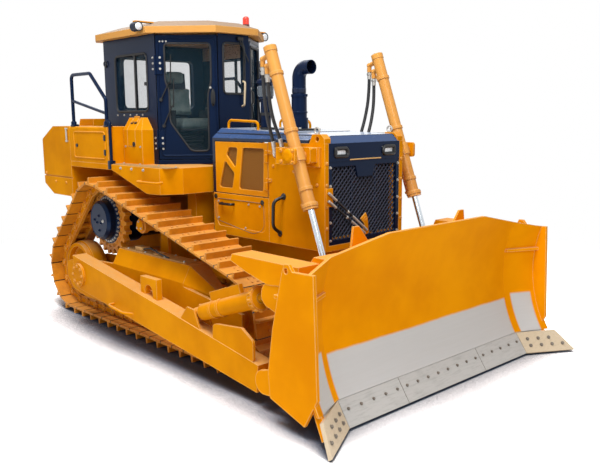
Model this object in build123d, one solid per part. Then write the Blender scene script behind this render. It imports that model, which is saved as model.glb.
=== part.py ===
import os
from math import atan2, cos, degrees, hypot, pi, radians, sin, sqrt, tan

from build123d import *

# Driving dimensions, in millimetres: +X forward, +Y left, +Z up, ground at z = 0
seat = 0.3                      # gap between two fixed pieces that bear on each other
pin_gap = 0.5                   # radial gap round a pin, ball or rod
door_gap = 9.0                  # gap round a hinged door
bite = 5.0                      # how far a welded piece reaches into what it is welded to

# Track: link chain, shoes, sprocket and idlers
link_pitch = 216.0
shoe_count = 44
sprocket_teeth = 23             # two teeth to a link, so the teeth hunt
gauge = 1980.0
shoe_width = 560.0
shoe_inner = 40.0               # pitch line to the inside of the shoe plate
shoe_outer = 65.0               # pitch line to the outside of the shoe plate
shoe_gap = 10.0                 # groove between two shoes
shoe_groove = 14.0
grouser_height = 65.0
grouser_root = 36.0
grouser_tip = 18.0
grouser_place = 0.68            # along the shoe, as a share of the pitch
rail_inside = 55.0              # pitch line to the tread that the rollers run on
rail_width = 45.0
rail_spacing = 190.0            # between the middles of the two rails
rail_play = 8.0                 # rail to a flange that guides it
bushing_radius = 33.0
bushing_play = 2.0
tooth_flare = 10.0
tooth_rise = 18.0
rear_idler_x = -180.0
sprocket_x = 520.0
sprocket_z = 1225.0
sprocket_width = 80.0
idler_hub = 95.0
idler_rim = 45.0
idler_web = 45.0                # half thickness of the disc at its rim
idler_boss = 70.0               # half thickness of the disc at its hub
idler_flange_rise = 22.0
roller_radius = 110.0
roller_count = 7
roller_first_x = 330.0
roller_behind_idler = 481.0     # last roller to the front idler
roller_waist = 30.0
roller_shaft = 55.0
roller_taper = 15.0
carrier_radius = 88.0
carrier_x = 1420.0
carrier_shaft = 40.0
carrier_waist = 20.0

# Track frame and main frame
frame_plate = 35.0
frame_half_inside = 165.0       # track middle to the inside of a frame plate
frame_low = 235.0
frame_top = 560.0
frame_end = 150.0               # past the idler's axis
frame_end_half = 90.0
frame_taper = 330.0
frame_shoulder = 760.0
recoil_top = 930.0
recoil_flat = 110.0             # half width of the flat top
recoil_to_wheel = 40.0          # how far the housing reaches under the sprocket's pitch circle
recoil_front_back = 811.0       # front idler to the housing's front
recoil_nose_back = 401.0        # front idler to the tip of its nose
recoil_nose_top = 700.0
recoil_nose_half = 90.0
trunnion_x = 660.0
trunnion_z = 640.0
trunnion_radius = 88.0
trunnion_neck = 18.0
pivot_radius = 110.0
pivot_rise = 90.0
post_foot = 110.0
post_head = 55.0
post_rise = 45.0
hull_half = 380.0
hull_bottom = 620.0
hull_top = 1180.0
hull_rear = -560.0
hull_behind_nose = 240.0        # guard's front to the hull's front
case_front = 330.0
case_slope = 430.0
hull_tail_rise = 120.0
hull_tail_run = 130.0
hull_chin_rise = 240.0
hull_chin_run = 220.0
drive_radius = 290.0
drive_neck = 40.0
drive_neck_end = 640.0
drive_cone_end = 700.0
hub_radius = 235.0
hub_reach = 165.0               # track middle to the hub's outer face
hub_flange = 35.0
hub_step = 20.0
hub_bevel = 30.0
mount_post_outer = 560.0
mount_post_root = 80.0
rear_post = (50.0, 280.0)       # ahead of the tank's front
front_post = (270.0, 430.0)     # behind the deck's front
drawbar_width = 180.0
drawbar_reach = 330.0
drawbar_z = 690.0
drawbar_thickness = 90.0
drawbar_bore = 27.0
drawbar_rise = 75.0
drawbar_spread = 150.0          # between the two tongues
drawbar_base = 45.0
drawbar_base_half = 230.0
drawbar_base_z = (745.0, 1080.0)
equalizer_behind_idler = 681.0
equalizer_length = 150.0
equalizer_depth = 130.0
equalizer_flat = 300.0
equalizer_taper = 40.0

# Engine, guard, hood and its doors
nose_ahead = 599.0              # front idler's axis to the guard's front
guard_length = 795.0
guard_lip = 40.0
guard_wall = 32.0
hood_half = 550.0
hood_rear = 2020.0
hood_rear_z = 2310.0
hood_front_z = 2250.0
hood_side_z = 2180.0
hood_rim = 30.0
hood_chamfer = 120.0
hood_sheet = 12.0
hood_post = 40.0
hood_brace = 25.0
brace_low = 70.0                # hood brace's opening, in from the side
brace_high = 190.0
brace_drop = 75.0
side_split_z = 1625.0
panel_thickness = 30.0
panel_border = 60.0
panel_recess = 4.0
door_rim = 55.0
door_mesh = 6.0
door_mesh_depth = 18.0
mesh_lap = 12.0
door_corner = 22.0
# Engine door's three windows, as x from its rear edge and z from its lower edge
door_upper_window = ((235, 482), (385, 482), (345, 262), (195, 400))
door_lower_window = ((165, 345), (325, 215), (285, 55), (60, 55))
door_front_window = ((470, 482), (810, 482), (790, 55), (400, 55))
hinge_low = 120.0
hinge_high = 160.0
hinge_half = 40.0
hinge_leaf = 8.0
hinge_leaf_length = 50.0
knuckle_radius = 13.0
floor_flange = 18.0
lug_length = 210.0
lug_height = 85.0
lug_width = 80.0
lug_slope = 45.0
lug_bore = 24.0
lug_bore_back = 100.0
lug_bore_rise = 42.0
lug_play = 8.0
grille_margin = 50.0            # hood's side to the grille's side
grille_bottom = 1235.0
grille_thickness = 36.0
grille_rim = 45.0
grille_corner = 30.0
grille_patch_half = 150.0
grille_patch_depth = 110.0
grille_bar = 14.0
guard_step = 60.0
nose_height = 170.0
lamp_width = 190.0
lamp_height = 90.0
lamp_in = 220.0                 # hood's side to the lamp's middle
lamp_depth = 30.0
lamp_inset = 6.0
lamp_play = 4.0
engine_behind_hood = 60.0
engine_in_guard = 235.0
engine_half = 330.0
engine_below_side = 130.0
engine_floor_play = 20.0
radiator_thickness = 220.0
radiator_drop = 90.0
radiator_in = 30.0
exhaust_from_rear = 700.0
exhaust_y = 80.0
exhaust_radius = 72.0
exhaust_top = 2930.0
exhaust_wall = 6.0
exhaust_reach = 190.0
exhaust_bend = 110.0
exhaust_collar = 22.0
exhaust_collar_height = 130.0
cleaner_from_rear = 400.0
cleaner_y = -130.0
cleaner_radius = 80.0
cleaner_neck = 55.0
cleaner_top = 2830.0
cleaner_brim = 14.0
cleaner_bowl = (210.0, 60.0)    # bowl's foot and shoulder, below the top
cleaner_cap = (50.0, 25.0)
stub_depth = 120.0              # how far a stack's foot starts below the hood's rear top
hood_rail_radius = 14.0
hood_rail_height = 85.0
hood_rail_in = 60.0
hood_rail_rear = 60.0
hood_rail_front = 560.0
hood_rail_drop = 18.0
hood_rail_bend = 50.0

# Platform, tank and boxes
deck_over_track = 144.7         # grouser tips on the sprocket to the deck's top
deck_half = 1100.0
deck_front = 1960.0
deck_inner = 400.0
deck_thickness = 65.0
deck_skirt = 289.0              # deck's top to the lower edge of its front skirt
deck_skirt_rear = 800.0
deck_skirt_front = 1552.0
deck_skirt_slope = 10.0
deck_corner = (200.0, 140.0)
tank_rear = -1050.0
tank_front = -240.0
tank_below = 450.0              # deck's top to the tank's bottom
tank_above = 430.0              # deck's top to the tank's top
tank_tail_rise = 130.0
tank_tail_run = 260.0
tank_slope_drop = 170.0
tank_slope_run = 340.0
tank_hump = 90.0
tank_hump_rear = 640.0
tank_hump_run = 40.0
tank_corner = 30.0
tank_seam_rise = 230.0
tank_seam_height = 14.0
tank_seam_depth = 12.0
locker_front = 730.0
locker_corner = 25.0
cab_clear = 20.0                # cab's side to a locker
box_rear = 745.0
box_front = 1160.0
box_out = 150.0                 # cab's side to the box's outer face
box_above = 530.0
box_front_above = 390.0
box_slope = 110.0               # run of the box's sloping front corner
box_wall = 20.0
box_ledge = 60.0                # flat top between the cab and the sloping lid
lid_pin = 8.0
lid_gap = 6.0
lid_fold = 190.0
lid_rear = 90.0
lid_front = 145.0
lid_knuckle_in = 40.0
rail_radius = 21.0
rail_y = 1075.0
rail_above = 620.0              # over the tank's top
rail_middle_above = 310.0
rail_low_above = 150.0
rail_rear_in = 90.0
rail_front_in = 40.0
rail_slope_x = 330.0
rail_bend = 60.0

# Cab
cab_rear = 86.0
cab_side_front = 1258.0
cab_front = 1714.0
cab_half = 750.0
cab_front_half = 220.0
cab_wall = 70.0
floor_thickness = 50.0
roof_bottom = 3350.0
roof_edge = 70.0
roof_rise = 80.0
roof_lap = 100.0
roof_crown = 0.72               # share of the plan that the flat crown takes up
# Windows: width, and sill and head as shares of the height between floor and roof
side_window = (720.0, 0.393, 0.857)
side_window_shift = 48.0
rear_window_margin = 230.0
rear_window = (0.4215, 0.8645)
front_window_margin = 70.0
front_window = (0.5287, 0.9287)
window_corner = 70.0
narrow_corner = 30.0
glass_inset = 20.0
glass_thickness = 8.0
door_thickness = 60.0
door_head = 20.0
door_latch_play = 2.0
pane_rim = 90.0
pane_hinge_rim = 95.0
pane_latch_rim = 75.0
pane_corner = 40.0
pane_step = 40.0                # notch beside the handle, and the step at the hinge
pane_foot = 240.0
# Where the pane's outline turns, as shares of its height down from its top
pane_notch = (0.353, 0.470)
pane_waist = 0.42
pane_knee = 0.723
hinge_out = 15.0
hinge_shares = (0.165, 0.76)    # cab door hinges, up the door
hinge_barrel = 110.0
hinge_strap = (80.0, 190.0)
seat_x = 740.0
seat_length = 540.0
seat_half = 270.0
seat_height = 330.0
seat_pad = 140.0
seat_back_half = 250.0
seat_back_share = 0.77          # of the height between floor and roof
seat_back_rake = 60.0
seat_back_depth = 115.0
seat_base = (300.0, 190.0)
seat_corner = 45.0
pod_x = (520.0, 1000.0)
pod_y = (330.0, 560.0)
pod_height = 560.0
dash_half = 140.0
dash_back = 84.0                # cab's front to the dash
dash_length = 300.0
dash_heights = (560.0, 620.0, 700.0)
beacon_ahead = 129.0            # side wall's front to the beacon
beacon_in = 300.0               # cab's side to the beacon
beacon_foot = (42.0, 100.0)     # radius, and height over the roof's brim
beacon_lens = (39.0, 95.0)
beacon_dome = 30.0
lamp_head = (52.0, 90.0)        # radius and length of a roof lamp
lamp_behind = 108.0             # side wall's front to the roof lamp
lamp_clear = 3.0
lamp_arm = (205.0, 60.0, 15.0)  # its bracket's reach, width and thickness

# Blade, arms and cylinders
blade_ahead = 729.0             # guard's front to the deepest line of the moldboard
corner_inset = 105.0            # arm's middle to the corner where the wing starts
wing_over = 167.0               # arm's outer face to the end plate
wing_angle = 24.5
mold_radius = 1243.5
mold_middle_z = 853.0
mold_plate = 28.0
mold_low_z = 218.0
mold_high_z = 1484.0
corner_top_z = 1285.0
top_flat_half = 685.0
edge_ahead = 307.0              # deepest line to the cutting edge's tip
edge_low_z = 26.0
edge_thickness = 32.0
edge_middle_half = 580.0
edge_play = 4.0
bit_out_x = 275.0
bit_out_y = 470.0
bit_top_share = 0.8
bit_base = 60.0
bit_base_shares = (0.4, 0.72, 1.6)
end_plate = 30.0
# End plate's outline, as x from the deepest line and z
end_plate_outline = ((277, 1292), (312, 345), (171, 100), (-227, 221), (-246, 432), (-189, 789), (-69, 1260),
                     (-38, 1335), (11, 1335), (51, 1285))
eye_back = 20.0
eye_z = 1282.0
eye_bore = 22.0
web_plate = 30.0
web_rise = (120.0, 820.0)
web_back = 190.0
web_front = 40.0
# Torsion box and top beam, as x from the deepest line's back and z from the moldboard's lower edge
torsion_back = ((-28, 330), (-190, 330), (-250, 160), (-130, -128))
torsion_foot = 60.0
beam_z = (1010.0, 1080.0, 1250.0, 1330.0)
beam_back = (90.0, 150.0)
arm_gap = 60.0                  # shoe's end to the arm
arm_width = 170.0
ball_back = 469.0               # deepest line to the arm's ball
ball_z = 250.0
ball_radius = 75.0
neck_radius = 48.0
neck_length = 140.0
# Push arm: places along it as shares from trunnion to ball
arm_knee = (0.45, 300.0)
arm_brow = (0.55, 571.0)
arm_tail = ((-160, 210), (-140, -130), (-50, -165))
arm_nose = ((-130, -138), (-105, 110))
# Gusset on the arm's front, as x and z from the ball
gusset_outline = ((-760, 170), (-745, 335), (-690, 352), (-330, 388), (-175, 300), (-175, 110))
gusset_plate = 26.0
gusset_in = 4.0
gusset_corner = 35.0
arch_from_trunnion = (1273.0, 1580.0)
arch_z = (560.0, 821.0)
arch_half = 32.0
arch_bore = 74.0
ear_plate = 35.0
ear_relief = 9.0                # the ball's side play as the blade tilts
ear_radius = 105.0
ball_ear = (240.0, -170.0)      # reach over and under the pin, where the ear meets the blade
tilt_ear = (170.0, 60.0)
lift_ear = (220.0, 120.0)
tilt_base_back = 1100.0         # ball to the tilt cylinder's foot
tilt_base_z = 600.0
tilt_pin_ahead = 80.0
tilt_pin_z = 1000.0
tilt_radius = 80.0
tilt_rod_radius = 42.0
tilt_gland = 0.80               # along the rest length
tilt_gland_length = 70.0
tilt_collar = 18.0
tilt_ball = 60.0
tilt_neck = (125.0, 140.0)
tilt_rod_share = 0.35
brace_sleeve = (140.0, 180.0)
brace_sleeve_less = 15.0
# Foot bracket of the tilt cylinder, as x and z from its pin
tilt_foot = ((-190, -80), (150, -130), (55, 60), (-60, 70))
valve_cover = (300.0, 760.0)    # along the tilt barrel
valve_cover_width = 46.0
valve_cover_height = 90.0
# Guard over the tilt cylinder's end, as x and z from its upper pin
wedge_outline = ((-507, 225), (-480, 285), (356, 285), (356, 120), (-20, 88), (-280, 150))
wedge_half = 110.0
# Plates that keep earth off the lift rods, as y from the cylinder and z
shield_outline = ((-240, 1240), (90, 1240), (50, 1510), (-20, 1510))
shield_plate = 20.0
shield_back = 150.0
lift_out = 190.0                # hood's side to the lift cylinder
yoke_back = 163.0               # guard's front to the yoke's pin
yoke_z = 2077.0
yoke_height = 75.0
yoke_reach = (170.0, 85.0)
yoke_bridge = 30.0
yoke_foot_z = (110.0, 70.0)
yoke_foot_x = (215.0, 115.0)
yoke_foot_plate = 25.0
yoke_corner = 28.0
yoke_play = 9.0
yoke_pin_radius = 34.0
yoke_plate = 26.0
lift_pin_back = 359.0           # deepest line to the lift rod's pin
lift_pin_z = 620.0
lift_radius = 57.5
lift_bore = 46.0
lift_rod_radius = 30.0
lift_above = 1044.0
lift_below = 507.0
lift_rod_length = 1540.0
lift_eye = 80.0
lift_eye_width = 90.0
lift_eye_bore = 40.0
lift_ear_in = 104.0             # lift eye's middle to the inner ear, room for its side drift
lift_ear_out = 128.0
lift_collar = 14.0
lift_gland = 60.0
lift_cap = 45.0
piston_length = 38.0
line_span = (120.0, 440.0)      # oil line along the barrel, below the yoke
line_off = 84.0
line_radius = 9.0
line_boss = 15.0
port_back = (985.0, 900.0)      # the two hose ports, up the barrel
port_radius = 24.0
elbow_radius = 28.0
elbow_drop = 70.0
cap_radius = 135.0
cap_thickness = 28.0

# Lift hoses: the points of their routes on the left side
hose_radius = 17.0
hose_routes = (
    ((3114, 740, 2886), (3116, 738, 2650), (3104, 690, 2400), (3098, 620, 2220), (3100, 602, 2120)),
    ((3178, 740, 2818), (3188, 738, 2600), (3196, 690, 2380), (3206, 622, 2230), (3210, 602, 2150)),
)
arc_share = 0.45                # of the shorter run, that an arc takes up


def block(x, y, z):
    middle = Pos((x[0] + x[1]) / 2, (y[0] + y[1]) / 2, (z[0] + z[1]) / 2)
    return middle * Box(x[1] - x[0], y[1] - y[0], z[1] - z[0])


def profile_xz(points, y):
    face = make_face(Polyline(*[(px, y[0], pz) for px, pz in points], close=True))
    return extrude(face, amount=y[1] - y[0], dir=(0, 1, 0))


def profile_xy(points, z):
    face = make_face(Polyline(*[(px, py, z[0]) for px, py in points], close=True))
    return extrude(face, amount=z[1] - z[0], dir=(0, 0, 1))


def profile_yz(points, x):
    face = make_face(Polyline(*[(x[0], py, pz) for py, pz in points], close=True))
    return extrude(face, amount=x[1] - x[0], dir=(1, 0, 0))


def rod(start, end, radius):
    start, end = Vector(*start), Vector(*end)
    return extrude(Plane(start, z_dir=end - start) * Circle(radius), amount=(end - start).length)


def ball(centre, radius):
    return Pos(*centre) * Sphere(radius)


def upright(x, y, z, size):
    # A cylinder that stands on z, with its radius and height
    return Pos(x, y, z + size[1] / 2) * Cylinder(*size)


def turned_y(points, x, y, z):
    # Revolve (radius, offset along Y) points round an axis along Y through x, y, z
    face = make_face(Polyline(*[(x + r, y + along, z) for r, along in points], close=True))
    return revolve(face, axis=Axis((x, y, z), (0, 1, 0)))


def bent_tube(points, bend, radius):
    path = FilletPolyline(*points, radius=bend)
    return sweep(Plane(path @ 0, z_dir=path % 0) * Circle(radius), path=path)


def window(width, height, corner, plane, depth):
    return extrude(plane * RectangleRounded(width, height, corner), amount=depth, both=True)


def rounded_cut(points, corner, y):
    # A cut through y with an outline of rounded corners, as x and z
    face = make_face(Polyline(*[(px, y[0], pz) for px, pz in points], close=True))
    return extrude(fillet(face.vertices(), corner), amount=y[1] - y[0], dir=(0, 1, 0))


def moved(points, x, z):
    return [(px + x, pz + z) for px, pz in points]


def left_of(shape):
    return mirror(shape, about=Plane.XZ)


def pair(shape):
    return Compound([*shape.solids(), *left_of(shape).solids()])


def both_sides(maker):
    return Compound([*maker(-1).solids(), *maker(1).solids()])


# The belt line round rear idler, front idler and sprocket, and the pins stepped along it
pitch_radius = link_pitch / 2 / sin(2 * pi / sprocket_teeth)
idler_z = pitch_radius + shoe_outer + grouser_height


def belt_runs(front_x):
    centres = [(rear_idler_x, idler_z), (front_x, idler_z), (sprocket_x, sprocket_z)]
    angles = []
    for place, centre in enumerate(centres):
        after = centres[(place + 1) % 3]
        angles.append(atan2(after[1] - centre[1], after[0] - centre[0]))
    runs = []
    for place, centre in enumerate(centres):
        after = centres[(place + 1) % 3]
        length = hypot(after[0] - centre[0], after[1] - centre[1])
        turn = (angles[(place + 1) % 3] - angles[place]) % (2 * pi)
        runs.append((centre, after, angles[place], length, turn))
    return runs


def belt_point(runs, distance):
    distance %= sum(length + turn * pitch_radius for _, _, _, length, turn in runs)
    for centre, after, angle, length, turn in runs:
        if distance <= length:
            x = centre[0] + pitch_radius * sin(angle) + distance * cos(angle)
            return x, centre[1] - pitch_radius * cos(angle) + distance * sin(angle)
        distance -= length
        if distance <= turn * pitch_radius:
            angle += distance / pitch_radius
            return after[0] + pitch_radius * sin(angle), after[1] - pitch_radius * cos(angle)
        distance -= turn * pitch_radius
    return belt_point(runs, 0)


def belt_pins(front_x):
    runs = belt_runs(front_x)
    distance = 0.0
    pins = []
    for _ in range(shoe_count):
        pins.append(belt_point(runs, distance))
        low, high = distance + 0.9 * link_pitch, distance + 1.1 * link_pitch
        for _ in range(50):
            middle = (low + high) / 2
            x, z = belt_point(runs, middle)
            if hypot(x - pins[-1][0], z - pins[-1][1]) < link_pitch:
                low = middle
            else:
                high = middle
        distance = low
    around = sum(length + turn * pitch_radius for _, _, _, length, turn in runs)
    return pins, distance - around


# The front idler is moved until a whole number of links closes the loop
front_idler_x = rear_idler_x + link_pitch * shoe_count / 3
for _ in range(30):
    track_pins, slack = belt_pins(front_idler_x)
    front_idler_x += slack / 1.97

# Places worked out from the driving dimensions and the closed belt
track_y = gauge / 2
rail_z = shoe_outer + grouser_height + rail_inside
roller_last_x = front_idler_x - roller_behind_idler
recoil_rear = sprocket_x + pitch_radius - recoil_to_wheel
recoil_front = front_idler_x - recoil_front_back
recoil_nose = front_idler_x - recoil_nose_back
equalizer_x = front_idler_x - equalizer_behind_idler
hub_face = track_y + hub_reach
deck_top = sprocket_z + pitch_radius + shoe_outer + grouser_height + deck_over_track
deck_skirt_z = deck_top - deck_skirt
tank_bottom = deck_top - tank_below
tank_top = deck_top + tank_above
box_top = deck_top + box_above
box_front_top = deck_top + box_front_above
box_outer = cab_half + box_out
locker_inner = cab_half + cab_clear
floor_top = deck_top + seat + floor_thickness
headroom = roof_bottom - floor_top
guard_front = front_idler_x + nose_ahead
guard_rear = guard_front - guard_length
hull_front = guard_front - hull_behind_nose
hood_front = guard_front - guard_lip
engine_rear = hood_rear + engine_behind_hood
engine_front = guard_rear + engine_in_guard
engine_top = hood_side_z - engine_below_side
grille_half = hood_half - grille_margin
lamp_y = hood_half - lamp_in
exhaust_x = hood_rear + exhaust_from_rear
cleaner_x = hood_rear + cleaner_from_rear
hood_rail_y = hood_half - hood_chamfer - hood_rail_in
door_line = (cab_front - cab_side_front, cab_half - cab_front_half)
door_length = hypot(*door_line)
arm_inner = track_y + shoe_width / 2 + arm_gap
arm_outer = arm_inner + arm_width
arm_y = (arm_inner + arm_outer) / 2
blade_half = arm_y - corner_inset
wing_half = arm_outer + wing_over
wing_reach = (wing_half - blade_half) * tan(radians(wing_angle))
mold_deep_x = guard_front + blade_ahead
mold_centre_x = mold_deep_x + mold_radius
edge_low_x = mold_deep_x + edge_ahead
ball_x = mold_deep_x - ball_back
tilt_base_x = ball_x - tilt_base_back
tilt_pin_x = ball_x + tilt_pin_ahead
tilt_line = Vector(tilt_pin_x - tilt_base_x, 0, tilt_pin_z - tilt_base_z).normalized()
tilt_length = hypot(tilt_pin_x - tilt_base_x, tilt_pin_z - tilt_base_z)
lift_y = hood_half + lift_out
yoke_x = guard_front - yoke_back
lift_pin_x = mold_deep_x - lift_pin_back
lift_line = Vector(lift_pin_x - yoke_x, 0, lift_pin_z - yoke_z).normalized()
lift_back = Vector(lift_line.Z, 0, -lift_line.X)


# Undercarriage
def chain_frames():
    frames = []
    for place, pin in enumerate(track_pins):
        after = track_pins[(place + 1) % shoe_count]
        angle = atan2(after[1] - pin[1], after[0] - pin[0])
        frames.append((pin, (cos(angle), sin(angle)), (sin(angle), -cos(angle))))
    return frames


def chain_outline(offset):
    frames = chain_frames()
    points = []
    for place, (pin, _, out) in enumerate(frames):
        before = frames[place - 1][2]
        scale = offset / (1 + before[0] * out[0] + before[1] * out[1])
        points.append((pin[0] + (before[0] + out[0]) * scale, pin[1] + (before[1] + out[1]) * scale))
    return points


def shoe_outline():
    # Round the loop: the groove between two shoes, then the next shoe's grouser
    frames = chain_frames()
    corners = chain_outline(shoe_outer)
    roots = chain_outline(shoe_outer - shoe_groove)
    points = []
    for place, (pin, along, out) in enumerate(frames):
        before = frames[place - 1][1]
        x, z = corners[place]
        points.append((x - before[0] * shoe_gap / 2, z - before[1] * shoe_gap / 2))
        points.append(roots[place])
        points.append((x + along[0] * shoe_gap / 2, z + along[1] * shoe_gap / 2))
        for width, height in ((-grouser_root, 0), (-grouser_tip, 1), (grouser_tip, 1), (grouser_root, 0)):
            reach = grouser_place * link_pitch + width / 2
            lift = shoe_outer + height * grouser_height
            points.append((pin[0] + along[0] * reach + out[0] * lift,
                           pin[1] + along[1] * reach + out[1] * lift))
    return points


def make_track(side):
    middle = side * track_y
    shoes = profile_xz(shoe_outline(), (middle - shoe_width / 2, middle + shoe_width / 2))
    shoes -= profile_xz(chain_outline(shoe_inner), (middle - shoe_width, middle + shoe_width))
    chain = []
    for hand in (-1, 1):
        rail_middle = middle + hand * rail_spacing / 2
        span = (rail_middle - rail_width / 2, rail_middle + rail_width / 2)
        rail = profile_xz(chain_outline(shoe_inner + bite), span)
        chain.append(rail - profile_xz(chain_outline(-rail_inside), (span[0] - 1, span[1] + 1)))
    reach = rail_spacing / 2
    bushings = [rod((x, middle - reach, z), (x, middle + reach, z), bushing_radius) for x, z in track_pins]
    return shoes + chain + bushings


def make_sprocket(side):
    on_wheel = [pin for pin in track_pins
                if abs(hypot(pin[0] - sprocket_x, pin[1] - sprocket_z) - pitch_radius) < 0.5]
    pin = on_wheel[len(on_wheel) // 2]
    first = degrees(atan2(pin[1] - sprocket_z, pin[0] - sprocket_x))
    gap = bushing_radius + bushing_play
    flare = gap + tooth_flare
    outside = pitch_radius + gap + tooth_rise
    mouth = make_face(Polyline((pitch_radius, -gap), (outside, -flare), (outside, flare), (pitch_radius, gap),
                               close=True))
    cut = Pos(pitch_radius, 0) * Circle(gap) + mouth
    cuts = [Rot(0, 0, first + place * 360 / sprocket_teeth) * cut for place in range(sprocket_teeth)]
    wheel = Circle(pitch_radius + tooth_rise) - cuts - Circle(drive_radius + seat)
    wheel = extrude(Plane.XY * wheel, amount=sprocket_width / 2, both=True)
    return Pos(sprocket_x, side * track_y, sprocket_z) * Rot(90, 0, 0) * wheel


def make_final_drive():
    neck = drive_radius - drive_neck
    flange = track_y + sprocket_width / 2
    profile = [(0, hull_half + seat), (neck, hull_half + seat), (neck, drive_neck_end),
               (drive_radius, drive_cone_end),
               (drive_radius, flange), (hub_radius + hub_flange, flange), (hub_radius, flange + hub_step),
               (hub_radius, hub_face - hub_bevel), (hub_radius - hub_bevel, hub_face), (0, hub_face)]
    return turned_y(profile, sprocket_x, 0, sprocket_z)


def rail_edges():
    # Track middle to the outside of a rail, and to the flange that guides it inside
    return rail_spacing / 2 + rail_width / 2, rail_spacing / 2 - rail_width / 2 - rail_play


def mirrored(half):
    # A turned profile from its outer half, given as (radius, distance from the middle)
    return [(r, -along) for r, along in half] + [(r, along) for r, along in reversed(half)]


def make_idler(x):
    tread = pitch_radius * cos(2 * pi / sprocket_teeth) - rail_inside - seat
    rail_out, rail_in = rail_edges()
    hub_half = frame_half_inside - seat
    flange = tread + idler_flange_rise
    half = [(0, hub_half), (idler_hub, hub_half), (idler_hub, idler_boss),
            (tread - idler_rim - bite, idler_web),
            (tread - idler_rim, rail_out), (tread, rail_out), (tread, rail_in), (flange, rail_in - rail_play)]
    return turned_y(mirrored(half), x, track_y, idler_z)


def make_rollers():
    rail_out, rail_in = rail_edges()
    hub_half = frame_half_inside - seat
    waist = roller_radius - roller_waist
    half = [(0, hub_half), (roller_shaft, hub_half), (roller_shaft, rail_out + roller_taper),
            (roller_radius, rail_out),
            (roller_radius, rail_in), (waist, rail_in - roller_taper)]
    step = (roller_last_x - roller_first_x) / (roller_count - 1)
    centre = rail_z + seat + roller_radius
    rollers = [turned_y(mirrored(half), roller_first_x + place * step, track_y,
                        centre) for place in range(roller_count)]
    x, z = carrier_centre()
    waist = carrier_radius - carrier_waist
    half = [(carrier_radius, rail_out), (carrier_radius, rail_in), (waist, rail_in - roller_taper)]
    stem = [(0, -frame_half_inside), (carrier_shaft, -frame_half_inside),
            (carrier_shaft, -rail_out - roller_taper)]
    cap = [(roller_shaft, rail_out + roller_taper), (0, rail_out + roller_taper)]
    return Compound([*rollers, turned_y(stem + mirrored(half) + cap, x, track_y, z)])


def carrier_centre():
    start, _, angle, _, _ = belt_runs(front_idler_x)[1]
    drop = pitch_radius - rail_inside - seat - carrier_radius
    share = (start[0] + drop * sin(angle) - carrier_x) / -cos(angle)
    return carrier_x, start[1] - drop * cos(angle) + share * sin(angle)


def recoil_section(x, half, flat, shoulder, top):
    return make_face(Polyline((x, track_y - half, frame_top), (x, track_y - half, shoulder),
                              (x, track_y - flat, top),
                              (x, track_y + flat, top), (x, track_y + half, shoulder),
                              (x, track_y + half, frame_top),
                              close=True))


def make_track_frame():
    low, high = frame_low, frame_low + frame_end_half - 2 * trunnion_neck
    rear, front = rear_idler_x - frame_end, front_idler_x + frame_end
    outline = [(rear, idler_z - frame_end_half), (rear_idler_x, high), (rear_idler_x + frame_taper, low),
               (front_idler_x - frame_taper, low), (front_idler_x, high), (front, idler_z - frame_end_half),
               (front, idler_z + frame_end_half),
               (front - frame_taper, idler_z + frame_end_half + frame_plate),
               (recoil_front, frame_shoulder - frame_plate), (recoil_rear, frame_shoulder),
               (rear + frame_taper, idler_z + 2 * frame_end_half), (rear, idler_z + frame_end_half)]
    plates = []
    for hand in (-1, 1):
        near = track_y + hand * frame_half_inside
        plates.append(profile_xz(outline, sorted((near, near + hand * frame_plate))))
    inside = (track_y - frame_half_inside, track_y + frame_half_inside)
    beam_low = rail_z + 2 * roller_radius + roller_taper
    beam_ends = frame_taper + frame_plate
    beam = block((rear_idler_x + beam_ends, front_idler_x - beam_ends), inside, (beam_low, frame_top + bite))
    half = frame_half_inside + frame_plate
    section = recoil_section(recoil_rear, half, recoil_flat, frame_shoulder, recoil_top)
    housing = extrude(section, amount=recoil_front - recoil_rear, dir=(1, 0, 0))
    nose = loft([recoil_section(recoil_front - bite, half, recoil_flat, frame_shoulder, recoil_top),
                 recoil_section(recoil_nose, recoil_nose_half, recoil_nose_half / 2,
                                recoil_nose_top - frame_plate,
                                recoil_nose_top)])
    neck_end = arm_inner - trunnion_neck
    stub = rod((trunnion_x, track_y, trunnion_z), (trunnion_x, neck_end + bite, trunnion_z),
               trunnion_radius - trunnion_neck)
    trunnion = rod((trunnion_x, neck_end, trunnion_z), (trunnion_x, arm_outer - trunnion_neck, trunnion_z),
                   trunnion_radius)
    pivot_z = trunnion_z + pivot_rise
    pivot = rod((trunnion_x, hull_half + seat, pivot_z), (trunnion_x, track_y - frame_half_inside, pivot_z),
                pivot_radius)
    x, z = carrier_centre()
    inner = track_y - frame_half_inside - seat
    foot = frame_shoulder - 2 * frame_plate
    post = profile_xz([(x - post_foot, foot), (x + post_foot, foot), (x + post_head, z),
                       (x + carrier_shaft, z + post_rise),
                       (x - carrier_shaft, z + post_rise), (x - post_head, z)], (inner - frame_plate, inner))
    return housing + beam + plates + nose + stub + trunnion + pivot + post


def make_main_frame():
    case_top = tank_bottom - seat
    hull = profile_xz([(hull_rear, hull_bottom + hull_tail_rise), (hull_rear, case_top),
                       (case_front, case_top),
                       (case_front + case_slope, hull_top), (hull_front, hull_top),
                       (hull_front, hull_bottom + hull_chin_rise), (hull_front - hull_chin_run, hull_bottom),
                       (hull_rear + hull_tail_run, hull_bottom)], (-hull_half, hull_half))
    posts = []
    for side in (-1, 1):
        span = sorted((side * (hull_half - mount_post_root), side * mount_post_outer))
        posts.append(block([tank_front + x for x in rear_post], span,
                           (hull_top - mount_post_root, deck_top - deck_thickness - seat)))
        posts.append(block([deck_front - x for x in reversed(front_post)], span,
                           (hull_bottom + hull_chin_rise, deck_skirt_z - seat)))
    return hull + posts


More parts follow.
